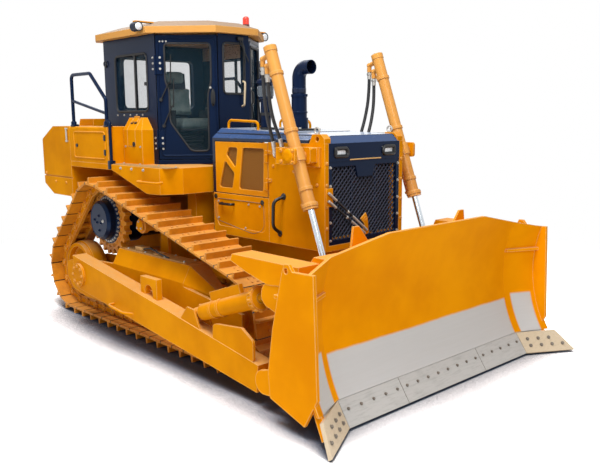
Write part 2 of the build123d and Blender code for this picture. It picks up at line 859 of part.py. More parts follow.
def make_drawbar():
    low = drawbar_z + drawbar_rise
    high = low + drawbar_thickness / 2
    base = block((hull_rear - drawbar_base, hull_rear - seat), (-drawbar_base_half, drawbar_base_half),
                 drawbar_base_z)
    end = hull_rear - drawbar_reach
    tongue = block((end, hull_rear - drawbar_base), (-drawbar_width / 2, drawbar_width / 2), (low, high))
    tongue += upright(end, 0, low, (drawbar_width / 2, drawbar_thickness / 2))
    bar = base + tongue + Pos(0, 0, drawbar_spread) * tongue
    return bar - rod((end, 0, low - 1), (end, 0, high + drawbar_spread + 1), drawbar_bore)


def make_equalizer():
    reach = track_y - frame_half_inside - frame_plate - seat
    half = equalizer_length / 2
    high = hull_bottom - seat
    low = high - equalizer_depth
    return profile_yz([(-reach, low + equalizer_taper), (-equalizer_flat, low), (equalizer_flat, low),
                       (reach, low + equalizer_taper), (reach, high), (-reach, high)],
                      (equalizer_x - half, equalizer_x + half))


# Engine bay
def make_engine():
    return block((engine_rear, engine_front), (-engine_half, engine_half), (hull_top + seat, engine_top))


def make_radiator():
    front = guard_front - 3 * guard_lip
    half = grille_half - radiator_in
    return block((front - radiator_thickness, front), (-half, half),
                 (hull_top + guard_wall + 2 * seat, hood_side_z - radiator_drop))


def hood_z(x):
    share = (x - hood_rear) / (hood_front - hood_rear)
    return hood_rear_z + (hood_front_z - hood_rear_z) * share


def hood_section(x, inset):
    half = hood_half - inset
    top = hood_z(x) - inset
    return [(x, -half, hood_side_z), (x, -half, hood_side_z + hood_rim), (x, -half + hood_chamfer, top),
            (x, half - hood_chamfer, top), (x, half, hood_side_z + hood_rim), (x, half, hood_side_z)]


def hood_form(inset, rear, front):
    return loft([make_face(Polyline(*hood_section(x, inset), close=True)) for x in (rear, front)])


def over_hood(shape):
    # What stands on the hood, cut to the hood's own slope
    return shape - Pos(0, 0, seat) * hood_form(0, hood_rear, hood_front)


def side_span(side, depth):
    return sorted((side * hood_half, side * (hood_half - depth)))


def make_hood():
    shell = hood_form(0, hood_rear, hood_front) - hood_form(hood_sheet, hood_rear - 1, hood_front + 1)
    brace = hood_form(bite, hood_rear, hood_rear + hood_brace)
    inner = [(hood_half - brace_low, hood_side_z - bite), (hood_half - brace_high, hood_rear_z - brace_drop)]
    brace -= profile_yz([*[(-y, z) for y, z in inner], *[(y, z) for y, z in reversed(inner)]],
                        (hood_rear - 1, hood_rear + 2 * hood_brace))
    shell += brace
    for side in (-1, 1):
        shell += block((hood_rear, hood_rear + hood_post), side_span(side, panel_thickness),
                       (side_split_z + seat, hood_side_z + bite))
        corner = sorted((side * (hood_half - lug_width - lug_play), side * (hood_half + 1)))
        shell -= block((guard_front - lug_length - lug_play, hood_front + 1), corner,
                       (hood_side_z - 1, hood_rear_z))
    return shell


def make_engine_door(side):
    rear, front = hood_rear + hood_post + door_gap, guard_rear - door_gap
    low, high = side_split_z + door_gap, hood_side_z - door_gap
    door = block((rear, front), side_span(side, panel_thickness), (low, high))
    across = (-hood_half - 1, hood_half + 1)
    for outline in (door_upper_window, door_lower_window, door_front_window):
        door -= rounded_cut(moved(outline, rear, low), door_corner, across)
    depths = sorted((side * (hood_half - door_mesh_depth), side * (hood_half - door_mesh_depth - door_mesh)))
    edge = door_rim - mesh_lap
    door += block((rear + edge, front - edge), depths, (low + edge, high - edge))
    x, y = side_hinge()
    for z in side_hinge_heights():
        door += rod((x, side * y, z - hinge_half), (x, side * y, z + hinge_half), knuckle_radius)
        leaf = sorted((side * (hood_half - 1), side * (hood_half + hinge_leaf)))
        door += block((x - hinge_leaf_length, x), leaf, (z - hinge_half + bite, z + hinge_half - bite))
    return door


def side_hinge():
    # The engine door's hinge pin, as x and y on the left side
    return guard_rear - door_gap + 2, hood_half + knuckle_radius + 1


def side_hinge_heights():
    return side_split_z + hinge_low, hood_side_z - hinge_high


def make_lower_cover(side):
    x = (hood_rear, guard_rear - seat)
    cover = block(x, side_span(side, panel_thickness), (hull_top + seat, side_split_z))
    cover += block(x, sorted((side * (hull_half - panel_thickness), side * hood_half)),
                   (hull_top + seat, hull_top + floor_flange))
    face = Plane((sum(x) / 2, side * hood_half, (hull_top + side_split_z + panel_border / 2) / 2),
                 x_dir=(1, 0, 0),
                 z_dir=(0, -1, 0))
    width = x[1] - x[0] - 2 * panel_border
    height = side_split_z - hull_top - 2.5 * panel_border
    return cover - window(width, height, panel_border, face, panel_recess)


def make_guard():
    top = hood_side_z - seat
    bottom = hull_top + seat
    guard = block((guard_rear, guard_front), (-hood_half, hood_half), (bottom, top))
    inner = hood_half - guard_wall
    guard -= block((guard_rear - 1, guard_front - 2 * guard_lip), (-inner, inner),
                   (bottom + guard_wall, top - guard_wall))
    opening = grille_half - guard_step
    guard -= block((guard_front - 3 * guard_lip, guard_front), (-opening, opening),
                   (grille_bottom + guard_step, top - guard_step))
    # The engine stands on the main frame, so the floor plate starts in front of it
    guard -= block((guard_rear - 1, engine_front + engine_floor_play), (-inner, inner),
                   (bottom - 1, bottom + guard_wall + 1))
    rear, front = guard_front - lug_length, guard_front - bite
    lug = profile_xz([(rear, top - bite), (front, top - bite), (front, top + lug_slope),
                      (front - lug_slope, top + lug_height),
                      (rear + lug_slope, top + lug_height)], (hood_half - lug_width, hood_half))
    eye_x, eye_height = guard_front - lug_bore_back, top + lug_bore_rise
    lug -= rod((eye_x, hood_half - lug_width - 1, eye_height), (eye_x, hood_half + 1, eye_height), lug_bore)
    x, y = side_hinge()
    leaf = (hood_half - 1, hood_half + hinge_leaf)
    for z in side_hinge_heights():
        low, high = z + hinge_half + pin_gap, z + 2 * hinge_half
        lug += rod((x, y, low), (x, y, high), knuckle_radius)
        lug += block((x, guard_rear + hinge_leaf_length), leaf, (low + bite, high - bite))
    guard = guard + lug + left_of(lug)
    recess = (guard_front - guard_lip, guard_front + 1)
    return guard - block(recess, (-grille_half, grille_half), (grille_bottom, top + 1))


def grille_depth():
    return guard_front - guard_lip + seat, guard_front - guard_lip + seat + grille_thickness


def make_grille():
    x = grille_depth()
    half = grille_half - seat
    low, high = grille_bottom + seat, hood_side_z - seat - nose_height
    plate = block(x, (-half, half), (low, high))
    middle = Plane((x[0], 0, (low + high) / 2), x_dir=(0, 1, 0), z_dir=(1, 0, 0))
    plate -= window(2 * (half - grille_rim), high - low - 2 * grille_rim, grille_corner, middle,
                    2 * grille_thickness)
    foot = high - grille_rim - grille_patch_depth
    patch = [(-grille_patch_half, high - bite), (-grille_patch_half + grille_rim, foot),
             (grille_patch_half - grille_rim, foot), (grille_patch_half, high - bite)]
    plate += profile_yz(patch, x)
    # Two stays behind the mesh carry it down to the lower rim
    for side in (-1, 1):
        y = side * half / 3
        plate += block((x[0], x[0] + grille_bar), (y - grille_bar / 2, y + grille_bar / 2),
                       (low + bite, high - bite))
    return plate


def nose_heights():
    return hood_side_z - nose_height, hood_side_z - 2 * seat


def make_nose():
    low, high = nose_heights()
    half = grille_half - seat
    panel = block((guard_front - guard_lip + seat, guard_front), (-half, half), (low, high))
    for side in (-1, 1):
        panel -= lamp_block(side, guard_front - lamp_depth, guard_front + 1, 0)
    return panel


def lamp_block(side, rear, front, inset):
    low, high = nose_heights()
    y = side * lamp_y
    half = lamp_width / 2 - inset
    rise = lamp_height / 2 - inset
    middle = (low + high) / 2
    return block((rear, front), (y - half, y + half), (middle - rise, middle + rise))


def make_head_lamps():
    rear = guard_front - lamp_depth + seat
    return both_sides(lambda side: lamp_block(side, rear, guard_front - lamp_inset, lamp_play))


def make_exhaust():
    base = hood_rear_z - stub_depth
    path = FilletPolyline((exhaust_x, exhaust_y, base), (exhaust_x, exhaust_y, exhaust_top),
                          (exhaust_x + exhaust_reach, exhaust_y, exhaust_top), radius=exhaust_bend)
    start = Plane(path @ 0, z_dir=path % 0)
    pipe = sweep(start * Circle(exhaust_radius), path=path)
    pipe -= sweep(start * Circle(exhaust_radius - exhaust_wall), path=path)
    collar_low = hood_rear_z - exhaust_collar_height / 5
    pipe += upright(exhaust_x, exhaust_y, collar_low,
                    (exhaust_radius + exhaust_collar, exhaust_collar_height))
    return over_hood(pipe)


def make_cleaner():
    foot = hood_rear_z - stub_depth
    brim = cleaner_radius + cleaner_brim
    bowl_low, bowl_high = [cleaner_top - drop for drop in cleaner_bowl]
    cap_low, cap_high = [cleaner_top - drop for drop in cleaner_cap]
    profile = [(0, foot), (cleaner_neck, foot), (cleaner_neck, bowl_low - cleaner_brim),
               (cleaner_radius, bowl_low),
               (cleaner_radius, bowl_high), (brim, cap_low), (brim, cap_high), (cleaner_neck, cleaner_top),
               (0, cleaner_top)]
    face = make_face(Polyline(*[(cleaner_x + r, cleaner_y, z) for r, z in profile], close=True))
    return over_hood(revolve(face, axis=Axis((cleaner_x, cleaner_y, 0), (0, 0, 1))))


def make_hood_rail(side):
    y = side * hood_rail_y
    base = hood_rear_z - stub_depth
    top = hood_rear_z + hood_rail_height
    rear, front = hood_rear + hood_rail_rear, hood_rear + hood_rail_front
    rail = bent_tube([(rear, y, base), (rear, y, top), (front, y, top - hood_rail_drop), (front, y, base)],
                     hood_rail_bend, hood_rail_radius)
    return over_hood(rail).solids().sort_by(Axis.Z)[-1]


# Platform, tank and boxes
def make_tank():
    front = tank_front - seat
    slope_end = tank_rear + tank_slope_run
    outline = [(tank_rear, tank_bottom + tank_tail_rise), (tank_rear, tank_top - tank_slope_drop),
               (slope_end, tank_top),
               (front, tank_top), (front, tank_bottom), (tank_rear + tank_tail_run, tank_bottom)]
    tank = profile_xz(outline, (-deck_half, deck_half))
    hump_top = tank_top + tank_hump
    tank += profile_xz([(-tank_hump_rear, tank_top - bite), (-tank_hump_rear + tank_hump_run, hump_top),
                        (front, hump_top),
                        (front, tank_top - bite)], (-locker_inner, locker_inner))
    corners = [edge for edge in tank.edges().filter_by(Axis.Y)
               if edge.center().X < tank_front - tank_slope_run
               and edge.center().Z > tank_bottom + tank_tail_rise - 1]
    tank = fillet(corners, tank_corner)
    seam_z = (tank_bottom + tank_seam_rise, tank_bottom + tank_seam_rise + tank_seam_height)
    seam = block((tank_rear - 1, front + 1), (-deck_half - 1, deck_half + 1), seam_z)
    core = deck_half - tank_seam_depth
    return tank - (seam - block((tank_rear + tank_seam_depth, front + 2), (-core, core),
                                (seam_z[0] - 1, seam_z[1] + 1)))


def make_locker(side):
    outer = sorted((side * locker_inner, side * deck_half))
    box = block((tank_front, locker_front), outer, (deck_top + seat, tank_top))
    edges = [edge for edge in box.edges().filter_by(Axis.X) if edge.center().Z > tank_top - 1]
    return fillet(edges, locker_corner)


def make_fender(side):
    under = deck_top - deck_thickness
    outline = [(tank_front, deck_top), (tank_front, under), (deck_skirt_rear, under),
               (deck_skirt_front, deck_skirt_z),
               (deck_front, deck_skirt_z + deck_skirt_slope), (deck_front, deck_top)]
    fender = profile_xz(outline, sorted((side * deck_inner, side * deck_half)))
    corner = [edge for edge in fender.edges().filter_by(Axis.Z)
              if edge.center().X > deck_front - 1 and abs(edge.center().Y) > deck_half - 1]
    return chamfer(corner, *deck_corner)


def box_outline(side, inset):
    near = cab_half + seat + inset
    low = deck_top + seat + inset
    points = [(near, low), (near, box_top - inset), (cab_half + box_ledge, box_top - inset),
              (box_outer - inset, box_front_top - inset), (box_outer - inset, low)]
    return [(side * y, z) for y, z in points]


def box_form(side, inset, rear, front):
    # The box with its front corner sloping back above the lid's fold
    form = profile_yz(box_outline(side, inset), (rear, front))
    high = box_top + 1
    run = box_slope * (high - box_front_top) / (box_top - box_front_top)
    corner = profile_xz([(box_front - inset, box_front_top - inset), (front + 1, box_front_top - inset),
                         (front + 1, high),
                         (box_front - inset - run, high)], (-box_outer - 1, box_outer + 1))
    return form - corner


def make_step_box(side):
    shell = box_form(side, 0, box_rear, box_front)
    shell -= box_form(side, box_wall, box_rear + box_wall, box_front - box_wall)
    return shell - lid_zone(side, 0)


def lid_zone(side, gap):
    # The sloping top and upper front of the box, which the lid takes up
    low = box_front_top - lid_fold + gap
    near = cab_half + box_ledge + 2 + gap
    inside = box_outer - box_wall - bite
    high = box_top + box_wall
    points = [(near, high), (near, box_top - 3 * box_wall), (inside, box_front_top - 3.5 * box_wall),
              (inside, low),
              (box_outer + 1, low), (box_outer + 1, high)]
    return profile_yz([(side * y, z) for y, z in points],
                      (box_rear + lid_rear + gap, box_front - lid_front - gap))


def lid_hinge():
    # Where the lid's hinge pin lies, as y and z, and the slope's own directions
    run = Vector(0, box_outer - cab_half - box_ledge, box_front_top - box_top).normalized()
    out = Vector(0, -run.Z, run.Y)
    pin = Vector(0, cab_half + box_ledge, box_top) - run * bite + out * lid_pin
    return pin, run, out


def make_lid(side):
    shell = box_form(side, 0, box_rear, box_front)
    shell -= profile_yz(box_outline(side, box_wall), (box_rear - 1, box_front + 1))
    lid = shell & lid_zone(side, lid_gap)
    pin, run, out = lid_hinge()
    corner = Vector(0, cab_half + box_ledge, box_top)
    strap = [corner + run * along + out * up
             for along, up in ((-5, 1), (20, 1), (20, -3), (60, -3), (60, lid_pin), (-5, lid_pin))]
    span = (box_rear + lid_rear + lid_knuckle_in, box_front - lid_front - lid_knuckle_in)
    lid += profile_yz([(side * point.Y, point.Z) for point in strap], span)
    return lid + rod((span[0], side * pin.Y, pin.Z), (span[1], side * pin.Y, pin.Z),
                     pin.Z - box_top - pin_gap)


def make_rear_rail(side):
    y = side * rail_y
    top = tank_top + rail_above
    middle = tank_top + rail_middle_above
    rear, front = tank_front + rail_rear_in, locker_front - rail_front_in
    foot = tank_top - rail_bend
    loop = bent_tube([(rear, y, foot), (rear, y, top), (rail_slope_x, y, top), (front, y, middle),
                      (front, y, foot)],
                     rail_bend, rail_radius)
    bar = rod((rear, y, middle), (front, y, tank_top + rail_low_above), rail_radius - 3)
    below = block((rear - rail_bend, front + rail_bend), (-deck_half, deck_half), (foot - 1, tank_top + seat))
    return loop + bar - below


# Cab
def make_cab_floor():
    outline = [(cab_rear, -cab_half), (cab_side_front, -cab_half), (cab_front, -cab_front_half),
               (cab_front, cab_front_half), (cab_side_front, cab_half), (cab_rear, cab_half)]
    return profile_xy(outline, (deck_top + seat, floor_top))


def wall_heights():
    return floor_top + seat, roof_bottom - seat


def between(shares):
    # Sill and head of a window, from shares of the height between floor and roof
    return floor_top + headroom * shares[0], floor_top + headroom * shares[1]


def side_opening(side, inset, depth, shrink):
    low, high = between(side_window[1:])
    middle = (cab_rear + cab_side_front) / 2 + side_window_shift
    plane = Plane((middle, side * (cab_half - inset), (low + high) / 2), x_dir=(1, 0, 0), z_dir=(0, -1, 0))
    return window(side_window[0] - 2 * shrink, high - low - 2 * shrink, window_corner, plane, depth)


def end_opening(x, half, shares, corner, depth, shrink):
    low, high = between(shares)
    plane = Plane((x, 0, (low + high) / 2), x_dir=(0, 1, 0), z_dir=(1, 0, 0))
    return window(2 * (half - shrink), high - low - 2 * shrink, corner, plane, depth)


def rear_opening(inset, depth, shrink):
    return end_opening(cab_rear + inset, cab_half - rear_window_margin, rear_window, window_corner, depth,
                       shrink)


def front_opening(inset, depth, shrink):
    half = cab_front_half - front_window_margin
    return end_opening(cab_front - inset, half, front_window, narrow_corner, depth, shrink)


def make_cab_wall(side):
    mitre = cab_wall * door_line[1] / door_line[0]
    outline = [(cab_rear, side * cab_half), (cab_side_front, side * cab_half),
               (cab_side_front - mitre, side * (cab_half - cab_wall)),
               (cab_rear, side * (cab_half - cab_wall))]
    return profile_xy(outline, wall_heights()) - side_opening(side, 0, 2 * cab_wall, 0)


def make_cab_rear():
    half = cab_half - cab_wall - seat
    return block((cab_rear, cab_rear + cab_wall), (-half, half), wall_heights()) - rear_opening(0,
                                                                                                2 * cab_wall,
                                                                                                0)


def make_cab_front():
    inner = cab_front_half - cab_wall * door_line[0] / door_line[1]
    outline = [(cab_front, -cab_front_half), (cab_front, cab_front_half), (cab_front - cab_wall, inner),
               (cab_front - cab_wall, -inner)]
    return profile_xy(outline, wall_heights()) - front_opening(0, 2 * cab_wall, 0)


def make_cab_glass():
    panes = [side_opening(side, glass_inset, glass_thickness / 2, seat) for side in (-1, 1)]
    panes.append(rear_opening(glass_inset, glass_thickness / 2, seat))
    panes.append(front_opening(glass_inset, glass_thickness / 2, seat))
    return Compound(panes)


def roof_outline(share, z):
    # The roof's plan at a height, drawn in towards its middle by a share
    nose = 0.8 * roof_lap
    half = [(cab_rear - 1.8 * roof_lap, cab_half), (cab_rear, cab_half + roof_lap),
            (cab_side_front - roof_lap / 5, cab_half + roof_lap), (cab_front + nose, cab_front_half + nose)]
    middle = (cab_rear + cab_front) / 2
    points = [(x, -y) for x, y in half] + [(x, y) for x, y in reversed(half)]
    return make_face(Polyline(*[(middle + (x - middle) * share, y * share, z) for x, y in points],
                              close=True))


def make_roof():
    shoulder = roof_bottom + roof_edge
    brim = extrude(roof_outline(1, roof_bottom), amount=roof_edge, dir=(0, 0, 1))
    return brim + loft([roof_outline(1, shoulder), roof_outline(roof_crown, shoulder + roof_rise)])


def door_heights():
    return floor_top + door_gap, roof_bottom - door_head


def door_pane():
    low, high = door_heights()
    rear, front = door_gap + pane_hinge_rim, door_length - door_gap - pane_latch_rim
    bottom, top = low + pane_rim, high - pane_rim
    height = top - bottom
    notch, ledge = [top - height * share for share in pane_notch]
    waist, knee = top - height * pane_waist, top - height * pane_knee
    outline = Polyline((rear, top), (front, top), (front, notch), (front - pane_step, ledge),
                       (front - pane_step, bottom),
                       (front - pane_foot, bottom), (rear + pane_step, knee), (rear + pane_step, waist),
                       (rear, notch),
                       close=True)
    return fillet(make_face(outline).vertices(), pane_corner)


def door_plane():
    # The right door's outer face: x along it from the hinge edge, y up, z outward
    along = (door_line[0], door_line[1], 0)
    out = (door_line[1], -door_line[0], 0)
    return Plane((cab_side_front, -cab_half, 0), x_dir=along, z_dir=out)


def hinge_place():
    # The right door's hinge pin, as x and y
    place = door_plane().from_local_coords((0, 0, hinge_out))
    return place.X, place.Y


def make_cab_door():
    low, high = door_heights()
    front = door_length - door_gap - door_latch_play
    panel = make_face(Polyline((door_gap, low), (front, low), (front, high), (door_gap, high), close=True))
    door = extrude(door_plane() * (panel - door_pane()), amount=-door_thickness)
    x, y = hinge_place()
    width, height = hinge_strap
    for share in hinge_shares:
        z = low + (high - low) * share
        door += rod((x, y, z - hinge_barrel), (x, y, z + hinge_barrel), knuckle_radius)
        door += door_plane() * Pos(width / 2, z, hinge_out / 2) * Box(width, height, hinge_out)
    return door


def make_door_glass():
    pane = extrude(door_plane() * offset(door_pane(), amount=-seat), amount=-glass_thickness)
    inward = door_plane().z_dir * -glass_inset
    return Pos(inward.X, inward.Y, 0) * pane


def make_seat():
    top = floor_top + seat_height
    length, half = seat_base
    base = block((seat_x - length * 0.6, seat_x + length * 0.4), (-half, half),
                 (floor_top + seat, top + bite))
    rear = seat_x - seat_length / 2
    cushion = block((rear, rear + seat_length), (-seat_half, seat_half), (top, top + seat_pad))
    back_low = top + seat_pad - seat_corner
    back_high = floor_top + headroom * seat_back_share
    lean = rear - seat_back_rake
    back = profile_xz([(rear - bite, back_low), (rear + seat_back_depth, back_low),
                       (lean + seat_back_depth, back_high),
                       (lean, back_high)], (-seat_back_half, seat_back_half))
    return base + fillet(cushion.edges(), seat_corner) + fillet(back.edges(), seat_corner)


def make_console():
    pods = [block(pod_x, sorted((side * pod_y[0], side * pod_y[1])),
                  (floor_top + seat, floor_top + pod_height))
            for side in (-1, 1)]
    front = cab_front - dash_back
    rear = front - dash_length
    lip, edge, crown = [floor_top + height for height in dash_heights]
    dash = profile_xz([(rear, floor_top + seat), (front, floor_top + seat), (front, edge),
                       (front - dash_length / 2, crown),
                       (rear + dash_back, lip)], (-dash_half, dash_half))
    return Compound([*pods, dash])


def make_beacon():
    brim = roof_bottom + roof_edge
    x, y = cab_side_front + beacon_ahead, cab_half - beacon_in
    lens = upright(x, y, brim + beacon_foot[1], beacon_lens)
    lens = fillet(lens.edges().sort_by(Axis.Z)[-1:], beacon_dome)
    return upright(x, y, brim, beacon_foot) + lens - Pos(0, 0, seat) * make_roof()


def make_roof_lamp():
    radius, length = lamp_head
    reach, width, thickness = lamp_arm
    x = cab_side_front - lamp_behind
    y = cab_half + roof_lap + radius + lamp_clear
    z = roof_bottom + roof_edge
    head = rod((x - length / 2, y, z), (x + length / 2, y, z), radius)
    arm = block((x - width / 2, x + width / 2), (y - reach, y + radius / 2),
                (z + radius - bite, z + radius - bite + thickness))
    return head + arm - Pos(0, 0, seat) * make_roof()


# Blade and its linkage
def mold_x(z, offset=0.0):
    return mold_centre_x - sqrt((mold_radius + offset) ** 2 - (z - mold_middle_z) ** 2)


def mold_face(y):
    low, high = mold_low_z, mold_high_z
    front = ThreePointArc((mold_x(low), y, low), (mold_deep_x, y, mold_middle_z), (mold_x(high), y, high))
    back = ThreePointArc((mold_x(high, mold_plate), y, high), (mold_deep_x - mold_plate, y, mold_middle_z),
                         (mold_x(low, mold_plate), y, low))
    return make_face([front, Line(front @ 1, back @ 0), back, Line(back @ 1, front @ 0)])


def edge_line():
    # The cutting edge's front face, from its tip to the foot of the moldboard
    return (edge_low_x, edge_low_z), (mold_x(mold_low_z) + 2, mold_low_z - 2)


def edge_outline(start, end):
    # A strip parallel to the cutting edge's front face, between two depths behind it
    (x0, z0), (x1, z1) = edge_line()
    length = hypot(x1 - x0, z1 - z0)
    back = ((z0 - z1) / length, (x1 - x0) / length)
    return [(x0 + back[0] * start, z0 + back[1] * start), (x1 + back[0] * start, z1 + back[1] * start),
            (x1 + back[0] * end, z1 + back[1] * end), (x0 + back[0] * end, z0 + back[1] * end)]


def make_blade():
    wing_dir = (wing_reach, wing_half - blade_half, 0)
    middle = extrude(mold_face(-blade_half), amount=2 * blade_half, dir=(0, 1, 0))
    wing = extrude(mold_face(blade_half), amount=hypot(*wing_dir[:2]), dir=wing_dir)
    above = mold_high_z + mold_radius / 8
    top = [(top_flat_half, mold_high_z), (wing_half, corner_top_z), (wing_half + mold_plate, above),
           (top_flat_half, above)]
    trim = profile_yz(top, (mold_deep_x - edge_ahead, mold_deep_x + 2 * edge_ahead))
    body = middle + wing + left_of(wing)
    body = body - trim - left_of(trim)
    base = mold_x(mold_low_z, mold_plate)
    torsion = profile_xz([(base + mold_plate, mold_low_z), (base - bite, mold_low_z + torsion_foot),
                          *moved(torsion_back, mold_deep_x - bite, mold_low_z),
                          (edge_low_x - 40, torsion_foot)],
                         (-blade_half, blade_half))
    ahead = edge_outline(-edge_ahead, edge_thickness + seat)
    torsion -= profile_xz(ahead, (-wing_half, wing_half))
    low, notch, shoulder, high = beam_z
    near, far = [mold_deep_x - back for back in beam_back]
    beam = profile_xz([(mold_deep_x - mold_plate - bite, low), (mold_x(high, mold_plate) - 2, high),
                       (near, high),
                       (far, shoulder), (far, notch)], (-blade_half, blade_half))
    foot = make_bit_base()
    return body + torsion + beam + foot + left_of(foot) + end_plates() + ears() + shields()


def end_plates():
    plate = profile_xz(moved(end_plate_outline, mold_deep_x, 0), (wing_half - end_plate, wing_half))
    eye_x = mold_deep_x - eye_back
    plate -= rod((eye_x, wing_half - end_plate - 1, eye_z), (eye_x, wing_half + 1, eye_z), eye_bore)
    rear, front = mold_deep_x - web_back, mold_deep_x + web_front
    near, far = blade_half - bite, wing_half - end_plate + bite
    for rise in web_rise:
        low = mold_low_z + rise
        plate += profile_xy([(rear, near), (front, near), (front + wing_reach, far), (rear, far)],
                            (low, low + web_plate))
    return [plate, left_of(plate)]


def ear(x, z, y, meet):
    # A plate from behind the moldboard to a rounded end at x, z
    root = mold_deep_x - mold_plate - bite
    over, under = meet
    foot = profile_xz([(root, z + over), (root, z - over - under), (x, z - ear_radius), (x, z + ear_radius)],
                      y)
    return foot + rod((x, y[0], z), (x, y[1], z), ear_radius)


def ears():
    near = arm_y - ball_radius - seat
    far = arm_y + ball_radius + ear_relief
    gap = tilt_ball + ear_relief
    plates = [ear(ball_x, ball_z, (near - ear_plate, near), ball_ear),
              ear(ball_x, ball_z, (far, far + ear_plate), ball_ear)]
    for y in (arm_y - gap - ear_plate, arm_y + gap):
        plates.append(ear(tilt_pin_x, tilt_pin_z, (y, y + ear_plate), tilt_ear))
    for y in (lift_y - lift_ear_in - ear_plate, lift_y + lift_ear_out):
        plates.append(ear(lift_pin_x, lift_pin_z, (y, y + ear_plate), lift_ear))
    return [shape for plate in plates for shape in (plate, left_of(plate))]


def shields():
    # Earth guards: over each tilt strut's upper end, and ahead of each lift rod
    wedge = profile_xz(moved(wedge_outline, tilt_pin_x, tilt_pin_z), (arm_y - wedge_half, arm_y + wedge_half))
    rear = mold_deep_x - shield_back - shield_plate + bite
    plate = profile_yz([(lift_y + y, z) for y, z in shield_outline], (rear, rear + shield_plate))
    return [shape for guard in (wedge, plate) for shape in (guard, left_of(guard))]


def make_cutting_edge():
    outline = edge_outline(0, edge_thickness)
    bounds = [-blade_half + edge_play, -edge_middle_half, edge_middle_half, blade_half - edge_play]
    return Compound([profile_xz(outline, (low + seat, high - seat)) for low, high in zip(bounds, bounds[1:])])


def bit_corners(low_share, out_share, high_share=1.0):
    # The end bit's front face: from the cutting edge's end outward and forward
    (x0, z0), (x1, z1) = edge_line()
    foot = Vector(x0, blade_half, z0)
    rise = Vector(x1, blade_half, z1) - foot
    start, high = foot + rise * low_share, foot + rise * high_share
    out = Vector(bit_out_x, bit_out_y, 0) * out_share
    return start, start + out, high + out * bit_top_share, high


def bit_back():
    start, tip, _, high = bit_corners(0, 1)
    return (high - start).cross(tip - start).normalized()


def make_end_bit():
    face = make_face(Polyline(*bit_corners(0, 1), close=True))
    return extrude(face, amount=edge_thickness, dir=tuple(bit_back()))


def make_bit_base():
    # The thick foot of the wing that the end bit is bolted to
    back = bit_back()
    shift = back * (edge_thickness + seat)
    face = make_face(Polyline(*[corner + shift for corner in bit_corners(*bit_base_shares)], close=True))
    return extrude(face, amount=bit_base, dir=tuple(back))


def make_arm():
    reach = ball_x - trunnion_x
    knee, brow = [(trunnion_x + reach * share, z) for share, z in (arm_knee, arm_brow)]
    outline = [*moved(arm_tail, trunnion_x, trunnion_z), knee, *moved(arm_nose, ball_x, ball_z), brow]
    arm = profile_xz(outline, (arm_inner, arm_outer))
    arm -= rod((trunnion_x, arm_inner - 1, trunnion_z), (trunnion_x, arm_outer + 1, trunnion_z),
               trunnion_radius + pin_gap)
    arm += rod((ball_x - neck_length, arm_y, ball_z), (ball_x, arm_y, ball_z), neck_radius)
    arm += ball((ball_x, arm_y, ball_z), ball_radius)
    gap = tilt_ball + pin_gap
    for y in (arm_y - gap - ear_plate / 2, arm_y + gap):
        arm += profile_xz(moved(tilt_foot, tilt_base_x, tilt_base_z), (y, y + ear_plate / 2))
    outside = arm_outer - gusset_in
    arm += rounded_cut(moved(gusset_outline, ball_x, ball_z), gusset_corner,
                       (outside - gusset_plate, outside))
    rear, front = [trunnion_x + x for x in arch_from_trunnion]
    arch = block((rear, front), (arm_y - arch_half, arm_y + arch_half), arch_z)
    middle = (rear + front) / 2
    spring = arch_z[1] - 2 * arch_bore
    arch -= rod((middle, arm_y - arm_width, spring), (middle, arm_y + arm_width, spring), arch_bore)
    arch -= block((middle - arch_bore, middle + arch_bore), (arm_inner, arm_outer), (arch_z[0] - 1, spring))
    return arm + arch


def make_caps():
    outside = arm_outer + seat
    return pair(rod((trunnion_x, outside, trunnion_z), (trunnion_x, outside + cap_thickness, trunnion_z),
                    cap_radius))


def on_tilt(distance):
    point = Vector(tilt_base_x, arm_y, tilt_base_z) + tilt_line * distance
    return tuple(point)


def make_tilt_barrel():
    gland = tilt_gland * tilt_length
    neck_end, bore_start = tilt_neck
    shell = rod(on_tilt(neck_end), on_tilt(gland), tilt_radius)
    shell += rod(on_tilt(gland - tilt_gland_length), on_tilt(gland), tilt_radius + tilt_collar)
    low, high = valve_cover
    along = Plane(on_tilt((low + high) / 2), x_dir=tilt_line, z_dir=(-tilt_line.Z, 0, tilt_line.X))
    rise = tilt_radius - bite + valve_cover_height / 2
    shell += along * Pos(0, 0, rise) * Box(high - low, valve_cover_width, valve_cover_height)
    shell -= rod(on_tilt(bore_start), on_tilt(tilt_length), tilt_rod_radius + pin_gap)
    return shell + rod(on_tilt(0), on_tilt(bore_start - bite), tilt_rod_radius) + ball(on_tilt(0), tilt_ball)


def make_tilt_rod():
    bar = rod(on_tilt(tilt_length * tilt_rod_share), on_tilt(tilt_length), tilt_rod_radius)
    return bar + ball(on_tilt(tilt_length), tilt_ball)


def make_brace():
    rear, front = brace_sleeve
    bar = rod(on_tilt(0), on_tilt(tilt_length), tilt_rod_radius)
    bar += rod(on_tilt(rear), on_tilt(tilt_length - front), tilt_radius - brace_sleeve_less)
    return bar + ball(on_tilt(0), tilt_ball) + ball(on_tilt(tilt_length), tilt_ball)


def on_lift(distance, back=0.0):
    point = Vector(yoke_x, lift_y, yoke_z) + lift_line * distance + lift_back * back
    return tuple(point)


